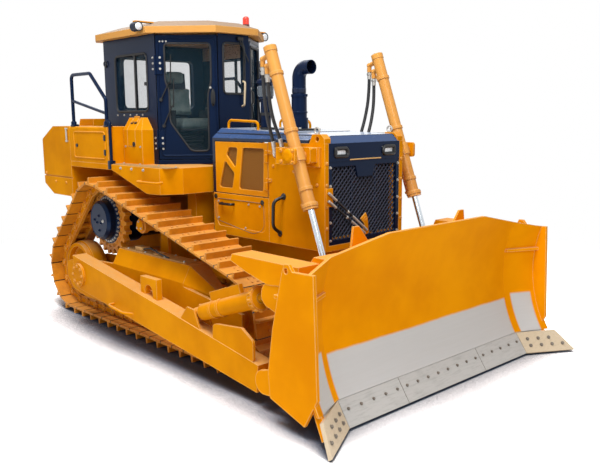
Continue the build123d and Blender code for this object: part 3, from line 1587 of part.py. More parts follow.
def make_lift_barrel():
    collar = lift_radius + lift_collar
    shell = rod(on_lift(-lift_above), on_lift(lift_below), lift_radius)
    shell += rod(on_lift(lift_below - lift_gland), on_lift(lift_below), collar)
    shell += rod(on_lift(-lift_gland), on_lift(lift_gland), collar)
    shell += rod(on_lift(-lift_above - bite), on_lift(-lift_above + lift_cap), lift_radius + bite)
    half = collar + yoke_play + yoke_plate - 2
    shell += rod((yoke_x, lift_y - half, yoke_z), (yoke_x, lift_y + half, yoke_z), yoke_pin_radius)
    # The oil line to the rod's end, and the two hose ports with their elbows
    shell += rod(on_lift(line_span[0], line_off), on_lift(line_span[1], line_off), line_radius)
    for place in line_span:
        shell += rod(on_lift(place), on_lift(place, line_off + line_boss), line_boss)
    for port, route in zip(port_back, hose_routes):
        outlet, after = Vector(*route[0]), Vector(*route[1])
        corner = outlet - (after - outlet).normalized() * elbow_drop
        shell += rod(on_lift(-port), corner, port_radius) + ball(corner, elbow_radius)
        shell += rod(corner, outlet, port_radius)
    shell -= rod(on_lift(-lift_above + lift_cap), on_lift(lift_below - lift_gland + bite), lift_bore)
    return shell - rod(on_lift(0), on_lift(lift_below + 1), lift_rod_radius + pin_gap)


def make_lift_rod():
    rest = hypot(lift_pin_x - yoke_x, lift_pin_z - yoke_z)
    start = rest - lift_rod_length
    bar = rod(on_lift(start), on_lift(rest - lift_eye_bore), lift_rod_radius)
    bar += rod(on_lift(start), on_lift(start + piston_length), lift_bore - pin_gap)
    near, far = lift_y - lift_eye_width / 2, lift_y + lift_eye_width / 2
    bar += rod((lift_pin_x, near, lift_pin_z), (lift_pin_x, far, lift_pin_z), lift_eye)
    return bar - rod((lift_pin_x, near - 1, lift_pin_z), (lift_pin_x, far + 1, lift_pin_z), lift_eye_bore)


def make_yoke():
    clear = lift_radius + lift_collar + yoke_play
    near, far = lift_y - clear, lift_y + clear
    x = (yoke_x - yoke_reach[0], yoke_x + yoke_reach[1])
    z = (yoke_z - yoke_height, yoke_z + yoke_height)
    cheeks = [block(x, (near - yoke_plate, near), z), block(x, (far, far + yoke_plate), z)]
    cheeks = [fillet(cheek.edges().filter_by(Axis.Y), yoke_corner) for cheek in cheeks]
    bridge = block((x[0] - bite, x[0] + yoke_bridge), (near - yoke_plate, far + yoke_plate), z)
    root = hood_half + seat
    foot = block((x[0] - bite, x[1]), (root, near - yoke_plate + 1), (z[0] + 2 * bite, z[1] - 2 * bite))
    foot += block((yoke_x - yoke_foot_x[0], yoke_x + yoke_foot_x[1]), (root, hood_half + yoke_foot_plate),
                  (yoke_z - yoke_foot_z[0], yoke_z + yoke_foot_z[1]))
    bores = rod((yoke_x, near - yoke_plate - 1, yoke_z), (yoke_x, far + yoke_plate + 1, yoke_z),
                yoke_pin_radius + pin_gap)
    return cheeks[0] + cheeks[1] + bridge + foot - bores


def hose_radii(points):
    # Each arc takes up its share of the shorter of its two runs
    places = [Vector(*point) for point in points]
    radii = []
    for before, here, after in zip(places, places[1:], places[2:]):
        turn = (here - before).get_angle(after - here)
        shorter = min((here - before).length, (after - here).length)
        radii.append(arc_share * shorter / tan(radians(turn / 2)))
    return radii


def make_hoses():
    hoses = []
    for points in hose_routes:
        path = FilletPolyline(*points, radius=hose_radii(points))
        hoses.append(sweep(Plane(path @ 0, z_dir=path % 0) * Circle(hose_radius), path=path))
    return Compound([solid for hose in hoses for solid in hose.solids()])


def build_nodes():
    nodes = {
        "main_frame": make_main_frame(),
        "engine": make_engine(),
        "final_drives": pair(make_final_drive()),
        "sprockets": both_sides(make_sprocket),
        "idlers": pair(make_idler(rear_idler_x) + make_idler(front_idler_x)),
        "rollers": pair(make_rollers()),
        "track_frames": pair(make_track_frame()),
        "right_track": make_track(-1),
        "left_track": make_track(1),
        "equalizer_bar": make_equalizer(),
        "drawbar": make_drawbar(),
        "radiator": make_radiator(),
        "radiator_guard": make_guard(),
        "grille": make_grille(),
        "nose_panel": make_nose(),
        "head_lamps": make_head_lamps(),
        "hood": make_hood(),
        "lower_covers": both_sides(make_lower_cover),
        "right_engine_door": make_engine_door(-1),
        "left_engine_door": make_engine_door(1),
        "exhaust_stack": make_exhaust(),
        "air_precleaner": make_cleaner(),
        "hood_handrails": both_sides(make_hood_rail),
        "fuel_tank": make_tank(),
        "lockers": both_sides(make_locker),
        "fenders": both_sides(make_fender),
        "step_boxes": both_sides(make_step_box),
        "right_box_lid": make_lid(-1),
        "left_box_lid": make_lid(1),
        "rear_handrails": both_sides(make_rear_rail),
        "cab_floor": make_cab_floor(),
        "cab_side_walls": both_sides(make_cab_wall),
        "cab_rear_wall": make_cab_rear(),
        "cab_front": make_cab_front(),
        "cab_roof": make_roof(),
        "cab_glass": make_cab_glass(),
        "right_cab_door": make_cab_door(),
        "left_cab_door": left_of(make_cab_door()),
        "right_door_glass": make_door_glass(),
        "left_door_glass": left_of(make_door_glass()),
        "seat": make_seat(),
        "console": make_console(),
        "beacon": make_beacon(),
        "roof_lamps": pair(make_roof_lamp()),
        "lift_yokes": pair(make_yoke()),
        "trunnion_caps": make_caps(),
        "left_push_arm": make_arm(),
        "right_push_arm": left_of(make_arm()),
        "blade": make_blade(),
        "cutting_edge": make_cutting_edge(),
        "end_bits": pair(make_end_bit()),
        "tilt_barrel": left_of(make_tilt_barrel()),
        "tilt_rod": left_of(make_tilt_rod()),
        "brace": make_brace(),
        "left_lift_barrel": make_lift_barrel(),
        "right_lift_barrel": left_of(make_lift_barrel()),
        "left_lift_rod": make_lift_rod(),
        "right_lift_rod": left_of(make_lift_rod()),
        "left_lift_hoses": make_hoses(),
        "right_lift_hoses": left_of(make_hoses()),
    }
    return nodes


def main():
    nodes = build_nodes()
    low, high = 1e9, -1e9
    for shape in nodes.values():
        box = shape.bounding_box()
        low, high = min(low, box.min.X), max(high, box.max.X)
    os.makedirs("parts", exist_ok=True)
    for name, shape in nodes.items():
        export_step(Pos(-(low + high) / 2, 0, 0) * shape, f"parts/{name}.step")
    print("middle in X", (low + high) / 2, "front idler", front_idler_x, "slack", slack)
    for points in hose_routes:
        print("hose radii", [round(radius) for radius in hose_radii(points)])


if __name__ == "__main__":
    main()
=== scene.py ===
import math
import bmesh
import bpy
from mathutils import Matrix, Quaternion, Vector
from mathutils.bvhtree import BVHTree


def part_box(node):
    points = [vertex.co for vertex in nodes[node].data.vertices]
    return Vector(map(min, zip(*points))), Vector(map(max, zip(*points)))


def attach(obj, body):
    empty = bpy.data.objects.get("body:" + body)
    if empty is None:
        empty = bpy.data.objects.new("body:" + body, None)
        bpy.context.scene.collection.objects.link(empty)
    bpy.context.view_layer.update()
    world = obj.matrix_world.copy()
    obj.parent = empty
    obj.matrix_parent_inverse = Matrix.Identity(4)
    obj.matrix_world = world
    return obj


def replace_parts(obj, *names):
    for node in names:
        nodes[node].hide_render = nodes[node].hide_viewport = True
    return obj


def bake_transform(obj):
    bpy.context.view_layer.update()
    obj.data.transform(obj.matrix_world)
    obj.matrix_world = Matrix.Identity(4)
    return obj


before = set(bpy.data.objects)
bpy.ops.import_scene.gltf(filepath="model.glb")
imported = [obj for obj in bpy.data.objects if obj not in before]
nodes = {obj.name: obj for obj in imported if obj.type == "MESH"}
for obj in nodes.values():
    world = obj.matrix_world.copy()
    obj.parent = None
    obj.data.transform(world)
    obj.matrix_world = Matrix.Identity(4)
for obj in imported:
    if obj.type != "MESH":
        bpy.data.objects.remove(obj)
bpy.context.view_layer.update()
sides = (("right", -1), ("left", 1))
forward, skyward = (1, 0, 0), (0, 0, 1)
print("frame loaded:", len(nodes), "CAD nodes")

# how the photograph was taken, in metres and degrees in the machine's frame
cameraSetup = {
    "place": (6.4605, -5.212, 2.432),
    "azimuth": 47.36,
    "elevation": 9.36,
    "roll": -0.5,
    "lens": 43.69,
    "sensor": 36.0,
}


def addObject(name, data):
    made = bpy.data.objects.new(name, data)
    bpy.context.scene.collection.objects.link(made)
    return made


def makeCamera(setup):
    a, e = math.radians(setup["azimuth"]), math.radians(setup["elevation"])
    back = Vector((math.sin(a) * math.cos(e), -math.cos(a) * math.cos(e), math.sin(e)))
    data = bpy.data.cameras.new("photoCamera")
    data.lens = setup["lens"]
    data.sensor_width = setup["sensor"]
    data.clip_start, data.clip_end = 0.1, 200
    camera = addObject("photoCamera", data)
    camera.location = setup["place"]
    camera.rotation_mode = "QUATERNION"
    roll = Quaternion((0, 0, 1), math.radians(setup["roll"]))
    camera.rotation_quaternion = (-back).to_track_quat("-Z", "Y") @ roll
    bpy.context.scene.camera = camera


makeCamera(cameraSetup)


class Wire:  # a node socket that takes part in Python arithmetic
    def __init__(self, socket):
        self.socket = socket

    def maths(self, operation, left, right):
        tree = self.socket.id_data
        step = tree.nodes.new("ShaderNodeMath")
        step.operation = operation
        for place, value in enumerate((left, right)):
            if isinstance(value, Wire):
                tree.links.new(value.socket, step.inputs[place])
            else:
                step.inputs[place].default_value = value
        return Wire(step.outputs[0])

    def __add__(self, other):
        return self.maths("ADD", self, other)

    def __sub__(self, other):
        return self.maths("SUBTRACT", self, other)

    def __rsub__(self, other):
        return self.maths("SUBTRACT", other, self)

    def __mul__(self, other):
        return self.maths("MULTIPLY", self, other)

    def __gt__(self, other):
        return self.maths("GREATER_THAN", self, other)

    def __abs__(self):
        return self.maths("ABSOLUTE", self, 0.0)

    __radd__, __rmul__ = __add__, __mul__


class Graph:  # a node tree, and the one way that nodes are added to it
    def __init__(self, tree):
        self.tree = tree
        self.tree.nodes.clear()

    def node(self, kind, settings=None, inputs=None, output=0):
        made = self.tree.nodes.new(kind)
        for key, value in (settings or {}).items():
            setattr(made, key, value)
        for key, value in (inputs or {}).items():
            for one in value if isinstance(value, list) else [value]:
                if isinstance(one, Wire):
                    self.tree.links.new(one.socket, made.inputs[key])
                else:
                    made.inputs[key].default_value = one
        return Wire(made.outputs[output]) if made.outputs else None


class Finish(Graph):  # one material and the nodes that make it
    def __init__(self, name):
        self.material = bpy.data.materials.new(name)
        self.material.use_nodes = True
        super().__init__(self.material.node_tree)

    def place(self):
        return self.node("ShaderNodeTexCoord", output=3)

    def axes(self):
        split = self.node("ShaderNodeSeparateXYZ", inputs={"Vector": self.place()}).socket.node
        return [Wire(socket) for socket in split.outputs]

    def noise(self, scale, detail=3.0, rough=0.55, stretch=None):
        where = self.place()
        if stretch:
            where = self.node("ShaderNodeMapping", inputs={"Vector": where, "Scale": stretch})
        return self.node("ShaderNodeTexNoise", inputs={"Vector": where, "Scale": scale, "Detail": detail,
                                                       "Roughness": rough})

    def wave(self, direction, scale):
        return self.node("ShaderNodeTexWave", {"bands_direction": direction}, {"Vector": self.place(), "Scale": scale})

    def step(self, value, low, high):
        return self.node("ShaderNodeMapRange", {"interpolation_type": "SMOOTHSTEP"},
                         {"Value": value, "From Min": low, "From Max": high})

    def blend(self, share, first, second):
        return self.node("ShaderNodeMix", {"data_type": "RGBA"}, {0: share, 6: first, 7: second}, output=2)

    def upward(self):  # 1 on surfaces that face the sky
        normal = self.node("ShaderNodeNewGeometry", output=1)
        split = self.node("ShaderNodeSeparateXYZ", inputs={"Vector": normal}).socket.node
        return Wire(split.outputs[2])

    def bump(self, height, strength, distance, edge=0.0):
        inputs = {"Height": height, "Strength": strength, "Distance": distance}
        if edge:
            inputs["Normal"] = self.node("ShaderNodeBevel", {"samples": 4}, {"Radius": edge})
        return self.node("ShaderNodeBump", inputs=inputs)

    def rim(self, radius):  # 1 along the edges, where paint rubs thin and a painted highlight runs
        flat = self.node("ShaderNodeNewGeometry", output=1)
        bevelled = self.node("ShaderNodeBevel", {"samples": 6}, {"Radius": radius})
        same = self.node("ShaderNodeVectorMath", {"operation": "DOT_PRODUCT"}, {0: flat, 1: bevelled}, output=1)
        return self.step(1 - same, 0.02, 0.22)

    def close(self, inputs):
        shader = self.node("ShaderNodeBsdfPrincipled", inputs=inputs)
        self.node("ShaderNodeOutputMaterial", inputs={"Surface": shader})
        return self.material


def colour(red, green, blue):
    def linear(value):
        value /= 255
        return value / 12.92 if value <= 0.04045 else ((value + 0.055) / 1.055) ** 2.4
    return linear(red), linear(green), linear(blue), 1


# the paints and metals, as sRGB values seen on the machine
palette = {
    "yellow": colour(227, 148, 6),
    "yellowDeep": colour(205, 126, 4),
    "bladeYellow": colour(240, 154, 4),
    "bladeDeep": colour(224, 136, 3),
    # pale tone for edges: rubbed paint, and a painted highlight
    "wearAndHighlight": colour(246, 202, 132),
    "barrel": colour(208, 156, 92),
    # pale tan for tops: dust, and a painted reflection of the sky
    "dustAndSheen": colour(206, 164, 112),
    # roof top tan: dust, a painted sky reflection, and painted shade against the bright overhead lamp
    "roofDustAndSheen": colour(150, 128, 108),
    "trackYellow": colour(220, 142, 18),
    "trackDeep": colour(186, 116, 18),
    "navy": colour(9, 21, 46),
    "navyDust": colour(58, 76, 106),
    # the next two tones are painted reflections of the sky: blue on the hood's chamfers, pale on its top
    "sky": colour(62, 86, 130),
    "skyGlareOnTop": colour(198, 210, 230),
    "wearGrey": colour(195, 194, 193),
    "edgeGrey": colour(184, 182, 178),
    "bitBeige": colour(202, 184, 156),
    "chrome": colour(215, 222, 228),
    "rubber": colour(20, 21, 24),
    "glass": colour(34, 66, 82),
}
paintShine = {"Specular IOR Level": 0.012, "Specular Tint": (1.0, 0.7, 0.18, 1)}  # low, or the pale floor shows in it


def yellowPaint(name="yellowPaint", dusty=0.7, dustAndSheen="dustAndSheen", gloss=0.0, pale=0.0, slope=0.55):
    f = Finish(name)
    mottle = f.noise(1.7, 4.0)
    flat = f.step(f.upward(), slope, 0.98)
    speck = f.step(f.noise(24.0, 6.0, 0.7), 0.35, 0.75)
    base = f.blend(f.step(mottle, 0.30, 0.72), palette["yellowDeep"], palette["yellow"])
    base = f.blend(pale, base, palette["barrel"])
    # upward faces blended to pale tan: dust, and a painted sky reflection on the tops; dusty sets how much of both
    base = f.blend(flat * (dusty * 0.6 + speck * dusty * 0.5), base, palette[dustAndSheen])
    # edges blended paler: rubbed paint, and a painted highlight along them
    base = f.blend(f.rim(0.014) * 0.55, base, palette["wearAndHighlight"])
    rough = 0.36 + mottle * 0.12 + flat * speck * 0.22
    return f.close({"Base Color": base, "Roughness": rough, "Coat Weight": gloss, "Coat Roughness": 0.2,
                    "Normal": f.bump(f.noise(160.0, 2.0), 0.10, 0.0015, 0.006), **paintShine})


def trackPaint():
    f = Finish("trackPaint")
    blotch = f.noise(3.2, 5.0, 0.65)
    scuff = f.step(f.noise(38.0, 5.0, 0.7), 0.52, 0.70)
    base = f.blend(f.step(blotch, 0.32, 0.70), palette["trackDeep"], palette["trackYellow"])
    base = f.blend(scuff * 0.2, base, colour(110, 70, 30))
    # upward faces blended paler: dust, and a painted sky reflection
    base = f.blend(f.step(f.upward(), 0.6, 1.0) * 0.25, base, palette["dustAndSheen"])
    # edges blended paler: rubbed paint, and a painted highlight along them
    base = f.blend(f.rim(0.012) * 0.45, base, palette["wearAndHighlight"])
    return f.close({"Base Color": base, "Roughness": 0.46 + blotch * 0.2, "Specular IOR Level": 0.35,
                    "Normal": f.bump(f.noise(70.0, 4.0), 0.25, 0.003, 0.005)})


def bladePaint(wear):
    # yellow, with the light grey rubbed band on the lower moldboard
    f = Finish("bladePaint")
    x, y, z = f.axes()
    mottle = f.noise(1.3, 4.0)
    base = f.blend(f.step(mottle, 0.3, 0.72), palette["bladeDeep"], palette["bladeYellow"])
    # upward faces blended paler: dust, and a painted sky reflection
    base = f.blend(f.step(f.upward(), 0.6, 1.0) * 0.4, base, palette["dustAndSheen"])
    # edges blended paler: rubbed paint, and a painted highlight along them
    base = f.blend(f.rim(0.016) * 0.75, base, palette["wearAndHighlight"])
    ragged = (f.noise(2.2, 6.0, 0.62) - 0.5) * wear["ragged"]
    soft, (low, inner, outer) = wear["soft"], wear["wing"]

    def past(value):  # 1 beyond a line, within 20 mm
        return f.step(value, 0.0, 0.02)

    middle = f.step(wear["top"] + ragged - z, -soft, soft) * past(wear["half"] - abs(y))
    wing = f.step(low + ragged - z, -soft, soft) * past(abs(y) - inner) * past(outer - abs(y))
    band = (middle + wing) * past(x - wear["face"])
    lines = f.noise(1.0, 4.0, stretch=(8.0, 2.0, 60.0))
    base = f.blend(band, base, f.blend(lines * 0.5, palette["wearGrey"], palette["edgeGrey"]))
    return f.close({"Base Color": base, "Roughness": 0.38 + mottle * 0.12 + band * 0.08, "Metallic": band * 0.35,
                    "Normal": f.bump(f.noise(120.0, 2.0), 0.10, 0.0015, 0.006), **paintShine})


def navyPaint(name="navyPaint", rough=0.26, coat=0.06, skyReflection=0.0):
    f = Finish(name)
    mottle = f.noise(2.4, 4.0)
    up = f.upward()
    flat = f.step(up, 0.7, 1.0)
    speck = f.step(f.noise(60.0, 5.0, 0.7), 0.45, 0.8)
    base = f.blend(flat * (0.08 + speck * 0.18), palette["navy"], palette["navyDust"])
    # painted sky reflection: blue on sloping faces, pale silver on flat tops
    if skyReflection:
        base = f.blend(f.step(up, 0.25, 0.6) * skyReflection, base, palette["sky"])
        base = f.blend(f.step(up, 0.90, 0.99) * skyReflection, base, palette["skyGlareOnTop"])
    return f.close({"Base Color": base, "Roughness": rough + mottle * 0.14 + flat * speck * 0.15,
                    "Normal": f.bump(f.noise(180.0, 2.0), 0.06, 0.001, 0.005), "Coat Weight": coat,
                    "Coat Roughness": 0.08, "Specular IOR Level": 0.2, "Specular Tint": (0.25, 0.5, 1.0, 1)})


def wornSteel(name, base, dark):
    f = Finish(name)
    scratch = f.noise(2.0, 6.0, 0.7, stretch=(30.0, 3.0, 30.0))
    blotch = f.noise(5.0, 4.0)
    tone = f.blend(f.step(scratch, 0.45, 0.75) * 0.5 + f.step(blotch, 0.5, 0.8) * 0.25, base, dark)
    return f.close({"Base Color": tone, "Roughness": 0.42 + blotch * 0.2, "Metallic": 0.25,
                    "Normal": f.bump(scratch, 0.12, 0.002, 0.004)})


def plainMetal(name, tone, rough, metallic, edge=0.003):
    f = Finish(name)
    grain = f.noise(120.0, 3.0)
    deep = tuple(0.6 * c for c in tone[:3]) + (1,)
    shade = f.blend(f.step(f.noise(6.0, 4.0), 0.35, 0.75) * 0.35, tone, deep)
    return f.close({"Base Color": shade, "Roughness": rough + grain * 0.12, "Metallic": metallic,
                    "Normal": f.bump(grain, 0.06, 0.0008, edge)})


def windowGlass(name="windowGlass", dark=0.07):
    f = Finish(name)
    film = f.step(f.noise(1.2, 3.0), 0.35, 0.8)
    tone = f.blend(film * 0.2, palette["glass"], colour(62, 96, 108))
    edge = f.node("ShaderNodeLayerWeight", inputs={"Blend": 0.3}, output=1)
    return f.close({"Base Color": tone, "Roughness": 0.02 + film * 0.02, "Alpha": dark + edge * 0.25 + film * 0.03,
                    "Specular IOR Level": 0.35})


def softSkin(name, tone, light):
    f = Finish(name)
    grain = f.noise(220.0, 3.0)
    base = f.blend(f.step(f.noise(9.0, 4.0), 0.4, 0.8) * 0.4, tone, light)
    return f.close({"Base Color": base, "Roughness": 0.5 + grain * 0.2, "Normal": f.bump(grain, 0.15, 0.001)})


def speckled(name, ground, fleck, scale):
    f = Finish(name)
    spots = f.node("ShaderNodeTexVoronoi", inputs={"Vector": f.place(), "Scale": scale})
    base = f.blend(f.step(spots, 0.18, 0.34), fleck, ground)
    base = f.blend(f.step(f.noise(4.0, 5.0), 0.4, 0.8) * 0.3, base, fleck)
    return f.close({"Base Color": base, "Roughness": 0.6 + spots * 0.2, "Normal": f.bump(spots, 0.5, 0.002)})


def seatVinyl():
    f = Finish("seatVinyl")
    cells = f.node("ShaderNodeTexVoronoi", inputs={"Vector": f.place(), "Scale": 260.0})
    base = f.blend(f.step(f.noise(7.0, 3.0), 0.35, 0.7) * 0.6, colour(120, 142, 140), colour(176, 192, 186))
    return f.close({"Base Color": base, "Roughness": 0.48 + cells * 0.2, "Sheen Weight": 0.2,
                    "Normal": f.bump(cells, 0.25, 0.0012)})


def beaconPlastic(split):
    f = Finish("beaconPlastic")
    foot = f.step(split - f.axes()[2], -0.001, 0.001)
    base = f.blend(foot, colour(232, 52, 28), palette["rubber"])
    return f.close({"Base Color": base, "Roughness": 0.18 + foot * 0.3, "Normal": f.bump(f.wave("Z", 30.0), 0.3, 0.003),
                    "Emission Color": (0.5, 0.03, 0.01, 1), "Emission Strength": 0.2, "Coat Weight": 0.4})


def lampGlass(name="lampGlass", clear=1.0, tone=None):
    f = Finish(name)
    rib = f.wave("Y", 14.0)
    base = f.blend(rib * 0.3, tone or colour(240, 243, 246), colour(150, 164, 178))
    return f.close({"Base Color": base, "Roughness": 0.08 + rib * 0.03, "Metallic": 0.2, "Alpha": clear,
                    "Normal": f.bump(rib, 0.4, 0.004), "Coat Weight": 0.8, "Coat Roughness": 0.03})


def radiatorFins():
    f = Finish("radiatorFins")
    fins = f.wave("Z", 40.0)
    base = f.blend(fins, colour(5, 6, 9), colour(16, 18, 24))
    return f.close({"Base Color": base, "Roughness": 0.55, "Metallic": 0.4, "Normal": f.bump(fins, 0.5, 0.004)})


def doorYellow(zone):
    # yellow frame; the sheet behind its windows is brown perforated mesh
    f = Finish("doorYellow")
    x, y, z = f.axes()
    mottle = f.noise(1.7, 4.0)
    base = f.blend(f.step(mottle, 0.3, 0.72), palette["yellowDeep"], palette["yellow"])
    behind = f.step(zone["face"] - abs(y), 0.0, 0.002)
    turned = f.node("ShaderNodeMapping", inputs={"Vector": f.place(), "Rotation": (0, math.radians(45), 0)})
    holes = f.node("ShaderNodeTexVoronoi", inputs={"Vector": turned, "Scale": zone["holes"], "Randomness": 0.0})
    # edges blended paler: rubbed paint, and a painted highlight along them
    base = f.blend(f.rim(0.012) * 0.5, base, palette["wearAndHighlight"])
    sheet = f.blend(f.step(holes, 0.36, 0.46), colour(84, 54, 22), colour(162, 108, 46))
    base = f.blend(behind, base, sheet)
    return f.close({"Base Color": base, "Roughness": 0.36 + mottle * 0.12 + behind * 0.15, "Coat Weight": 0.08,
                    "Normal": f.bump(holes * behind, 0.4, 0.003, 0.005), "Specular IOR Level": 0.012})


def roofLampPaint(split):
    # black lamp body under a yellow bracket
    f = Finish("roofLampPaint")
    over = f.step(f.axes()[2] - split, -0.001, 0.001)
    base = f.blend(over, palette["navy"], palette["yellow"])
    return f.close({"Base Color": base, "Roughness": 0.34 + f.noise(9.0, 4.0) * 0.16, "Specular IOR Level": 0.25,
                    "Normal": f.bump(f.noise(150.0, 2.0), 0.1, 0.001, 0.004)})


def boxShare(node, axis, share):
    low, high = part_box(node)
    return low[axis] + (high[axis] - low[axis]) * share


finishes = {
    "yellow": yellowPaint(),
    # nearly every roof face is blended to a dull tan: dust, a painted sky reflection, and painted shade against the
    # bright overhead lamp
    "roof": yellowPaint("roofPaint", 1.5, "roofDustAndSheen", pale=0.75, slope=0.2),
    "cylinder": yellowPaint("cylinderPaint", 0.8, gloss=0.3, pale=0.6),
    "track": trackPaint(),
    "blade": bladePaint({"top": 0.56, "ragged": 0.03, "soft": 0.014, "face": 2.46, "half": 1.30,
                         "wing": (0.60, 1.36, 1.60)}),  # wing: top, inner end, outer end
    "navy": navyPaint(),
    "hood": navyPaint("hoodPaint", rough=0.18, coat=0.5, skyReflection=0.9),
    "black": plainMetal("blackPaint", colour(11, 12, 14), 0.36, 0.0),
    "edge": wornSteel("edgeSteel", palette["edgeGrey"], colour(140, 138, 134)),
    "bit": wornSteel("bitSteel", palette["bitBeige"], colour(172, 154, 128)),
    "dusty": wornSteel("dustySteel", colour(214, 172, 108), colour(170, 118, 50)),
    "chrome": plainMetal("chromeRod", palette["chrome"], 0.06, 1.0),
    "iron": plainMetal("castIron", colour(126, 118, 108), 0.5, 0.4),
    "zinc": plainMetal("boltZinc", colour(186, 184, 178), 0.36, 0.5, 0.0),
    "glass": windowGlass(),
    "doorGlass": windowGlass("doorGlass", 0.10),
    "rubber": softSkin("rubberSkin", palette["rubber"], colour(50, 51, 55)),
    "plastic": softSkin("cabPlastic", colour(36, 38, 42), colour(60, 62, 66)),
    "beige": softSkin("gripVinyl", colour(196, 176, 144), colour(170, 148, 116)),
    "liner": speckled("roofLiner", colour(214, 176, 140), colour(120, 82, 54), 42.0),
    "grip": speckled("gripStrip", colour(176, 138, 84), colour(104, 76, 40), 160.0),
    "seat": seatVinyl(),
    "beacon": beaconPlastic(boxShare("beacon", 2, 0.36)),
    "roofLamp": roofLampPaint(3.470),
    "lamp": lampGlass(),
    "bowl": lampGlass("clearBowl", 0.5, colour(96, 104, 110)),
    "fins": radiatorFins(),
    "mesh": softSkin("meshPaint", colour(36, 44, 66), colour(58, 68, 92)),
    "door": doorYellow({"face": 0.536, "holes": 62.0}),
}
navyNodes = ("final_drives grille nose_panel exhaust_stack air_precleaner rear_handrails cab_floor cab_side_walls "
             "cab_rear_wall cab_front right_cab_door left_cab_door").split()
nodeFinish = {name: "navy" for name in navyNodes}
nodeFinish.update({
    "right_track": "track", "left_track": "track", "sprockets": "track", "rollers": "track",
    "blade": "blade", "cutting_edge": "edge", "end_bits": "bit", "tilt_rod": "chrome", "left_lift_rod": "chrome",
    "right_lift_rod": "chrome", "engine": "iron", "cab_glass": "glass", "right_door_glass": "doorGlass", "hood": "hood",
    "left_door_glass": "doorGlass", "console": "plastic", "seat": "seat", "beacon": "beacon", "head_lamps": "lamp",
    "radiator": "fins", "right_engine_door": "door", "left_engine_door": "door", "cab_roof": "roof",
    "roof_lamps": "roofLamp", "right_lift_barrel": "cylinder", "left_lift_barrel": "cylinder",
    "right_lift_hoses": "rubber", "left_lift_hoses": "rubber",
})
for name, node in nodes.items():
    node.data.materials.clear()
    node.data.materials.append(finishes[nodeFinish.get(name, "yellow")])
print("finishes:", len(finishes))


class Form:  # gathers the faces of one piece
    def __init__(self):
        self.mesh = bmesh.new()

    def ring(self, centre, side, up, radius, count):
        turns = [2 * math.pi * k / count for k in range(count)]
        return [self.mesh.verts.new(centre + (side * math.cos(a) + up * math.sin(a)) * radius) for a in turns]

    def skin(self, rings, closed=False):
        pairs = list(zip(rings, rings[1:])) + ([(rings[-1], rings[0])] if closed else [])
        for low, high in pairs:
            for k in range(len(low)):
                n = (k + 1) % len(low)
                self.mesh.faces.new((low[k], low[n], high[n], high[k]))
        if not closed:
            self.mesh.faces.new(rings[0])
            self.mesh.faces.new(rings[-1])
        return self

    def turned(self, profile, start, axis, count=20, closed=False):  # profile: radius, distance along the axis
        axis = Vector(axis).normalized()
        side = axis.orthogonal().normalized()
        up = axis.cross(side)
        rings = [self.ring(Vector(start) + axis * along, side, up, radius, count) for radius, along in profile]
        return self.skin(rings, closed)

    def rod(self, start, end, radius, count=14, edge=0.003):
        reach = (Vector(end) - Vector(start)).length
        profile = [(radius - edge, 0), (radius, edge), (radius, reach - edge), (radius - edge, reach)]
        return self.turned(profile, start, Vector(end) - Vector(start), count)

    def hoop(self, start, axis, inner, outer, depth, count=28, edge=0.003):  # a flat ring with eased edges
        profile = [(inner, 0), (outer, 0), (outer, depth - edge), (outer - edge, depth), (inner + edge, depth),
                   (inner, depth - edge)]
        return self.turned(profile, start, axis, count, True)

    def pipe(self, points, radius, count=10, closed=False):
        spine = [Vector(p) for p in points]
        last, side, rings = len(spine) - 1, None, []
        for k, here in enumerate(spine):
            before = spine[k - 1] if closed or k > 0 else here
            after = spine[(k + 1) % len(spine)] if closed or k < last else here
            ahead = (after - before).normalized()
            side = ahead.orthogonal() if side is None else side - ahead * side.dot(ahead)
            side.normalize()
            rings.append(self.ring(here, side, ahead.cross(side), radius, count))
        return self.skin(rings, closed)

    def block(self, start, end, edge=0.004):  # between any two opposite corners
        low, high = [[pick(pair) for pair in zip(start, end)] for pick in (min, max)]
        made = bmesh.ops.create_cube(self.mesh, size=1.0)["verts"]
        for v in made:
            v.co = Vector([a + (b - a) * (c + 0.5) for a, b, c in zip(low, high, v.co)])
        edges = list({e for v in made for e in v.link_edges})
        bmesh.ops.bevel(self.mesh, geom=edges, offset=edge, segments=2, profile=0.5, affect="EDGES")
        return self

    def plate(self, outline, depth, edge=0.0):  # a flat outline given a thickness
        low = [self.mesh.verts.new(p) for p in outline]
        high = [self.mesh.verts.new(Vector(p) + Vector(depth)) for p in outline]
        self.skin([low, high])
        if edge:
            rim = [self.mesh.edges.get((a, b)) for a, b in zip(high, high[1:] + high[:1])]
            bmesh.ops.bevel(self.mesh, geom=rim, offset=edge, segments=2, profile=0.5, affect="EDGES")
        return self

    def data(self, name):
        bmesh.ops.recalc_face_normals(self.mesh, faces=self.mesh.faces)
        made = bpy.data.meshes.new(name)
        self.mesh.to_mesh(made)
        self.mesh.free()
        return made

    def done(self, name, finish, body="tractor"):
        piece = addObject(name, self.data(name))
        piece.data.materials.append(finishes[finish])
        soften(piece.data, 42)
        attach(piece, body)
        return piece


def soften(data, angle):
    data.shade_smooth()
    data.set_sharp_from_angle(angle=math.radians(angle))


def solidMesh(piece):  # the piece's shape with its modifiers applied
    bpy.context.view_layer.update()
    ready = bpy.data.meshes.new_from_object(piece.evaluated_get(bpy.context.evaluated_depsgraph_get()))
    piece.modifiers.clear()
    return ready


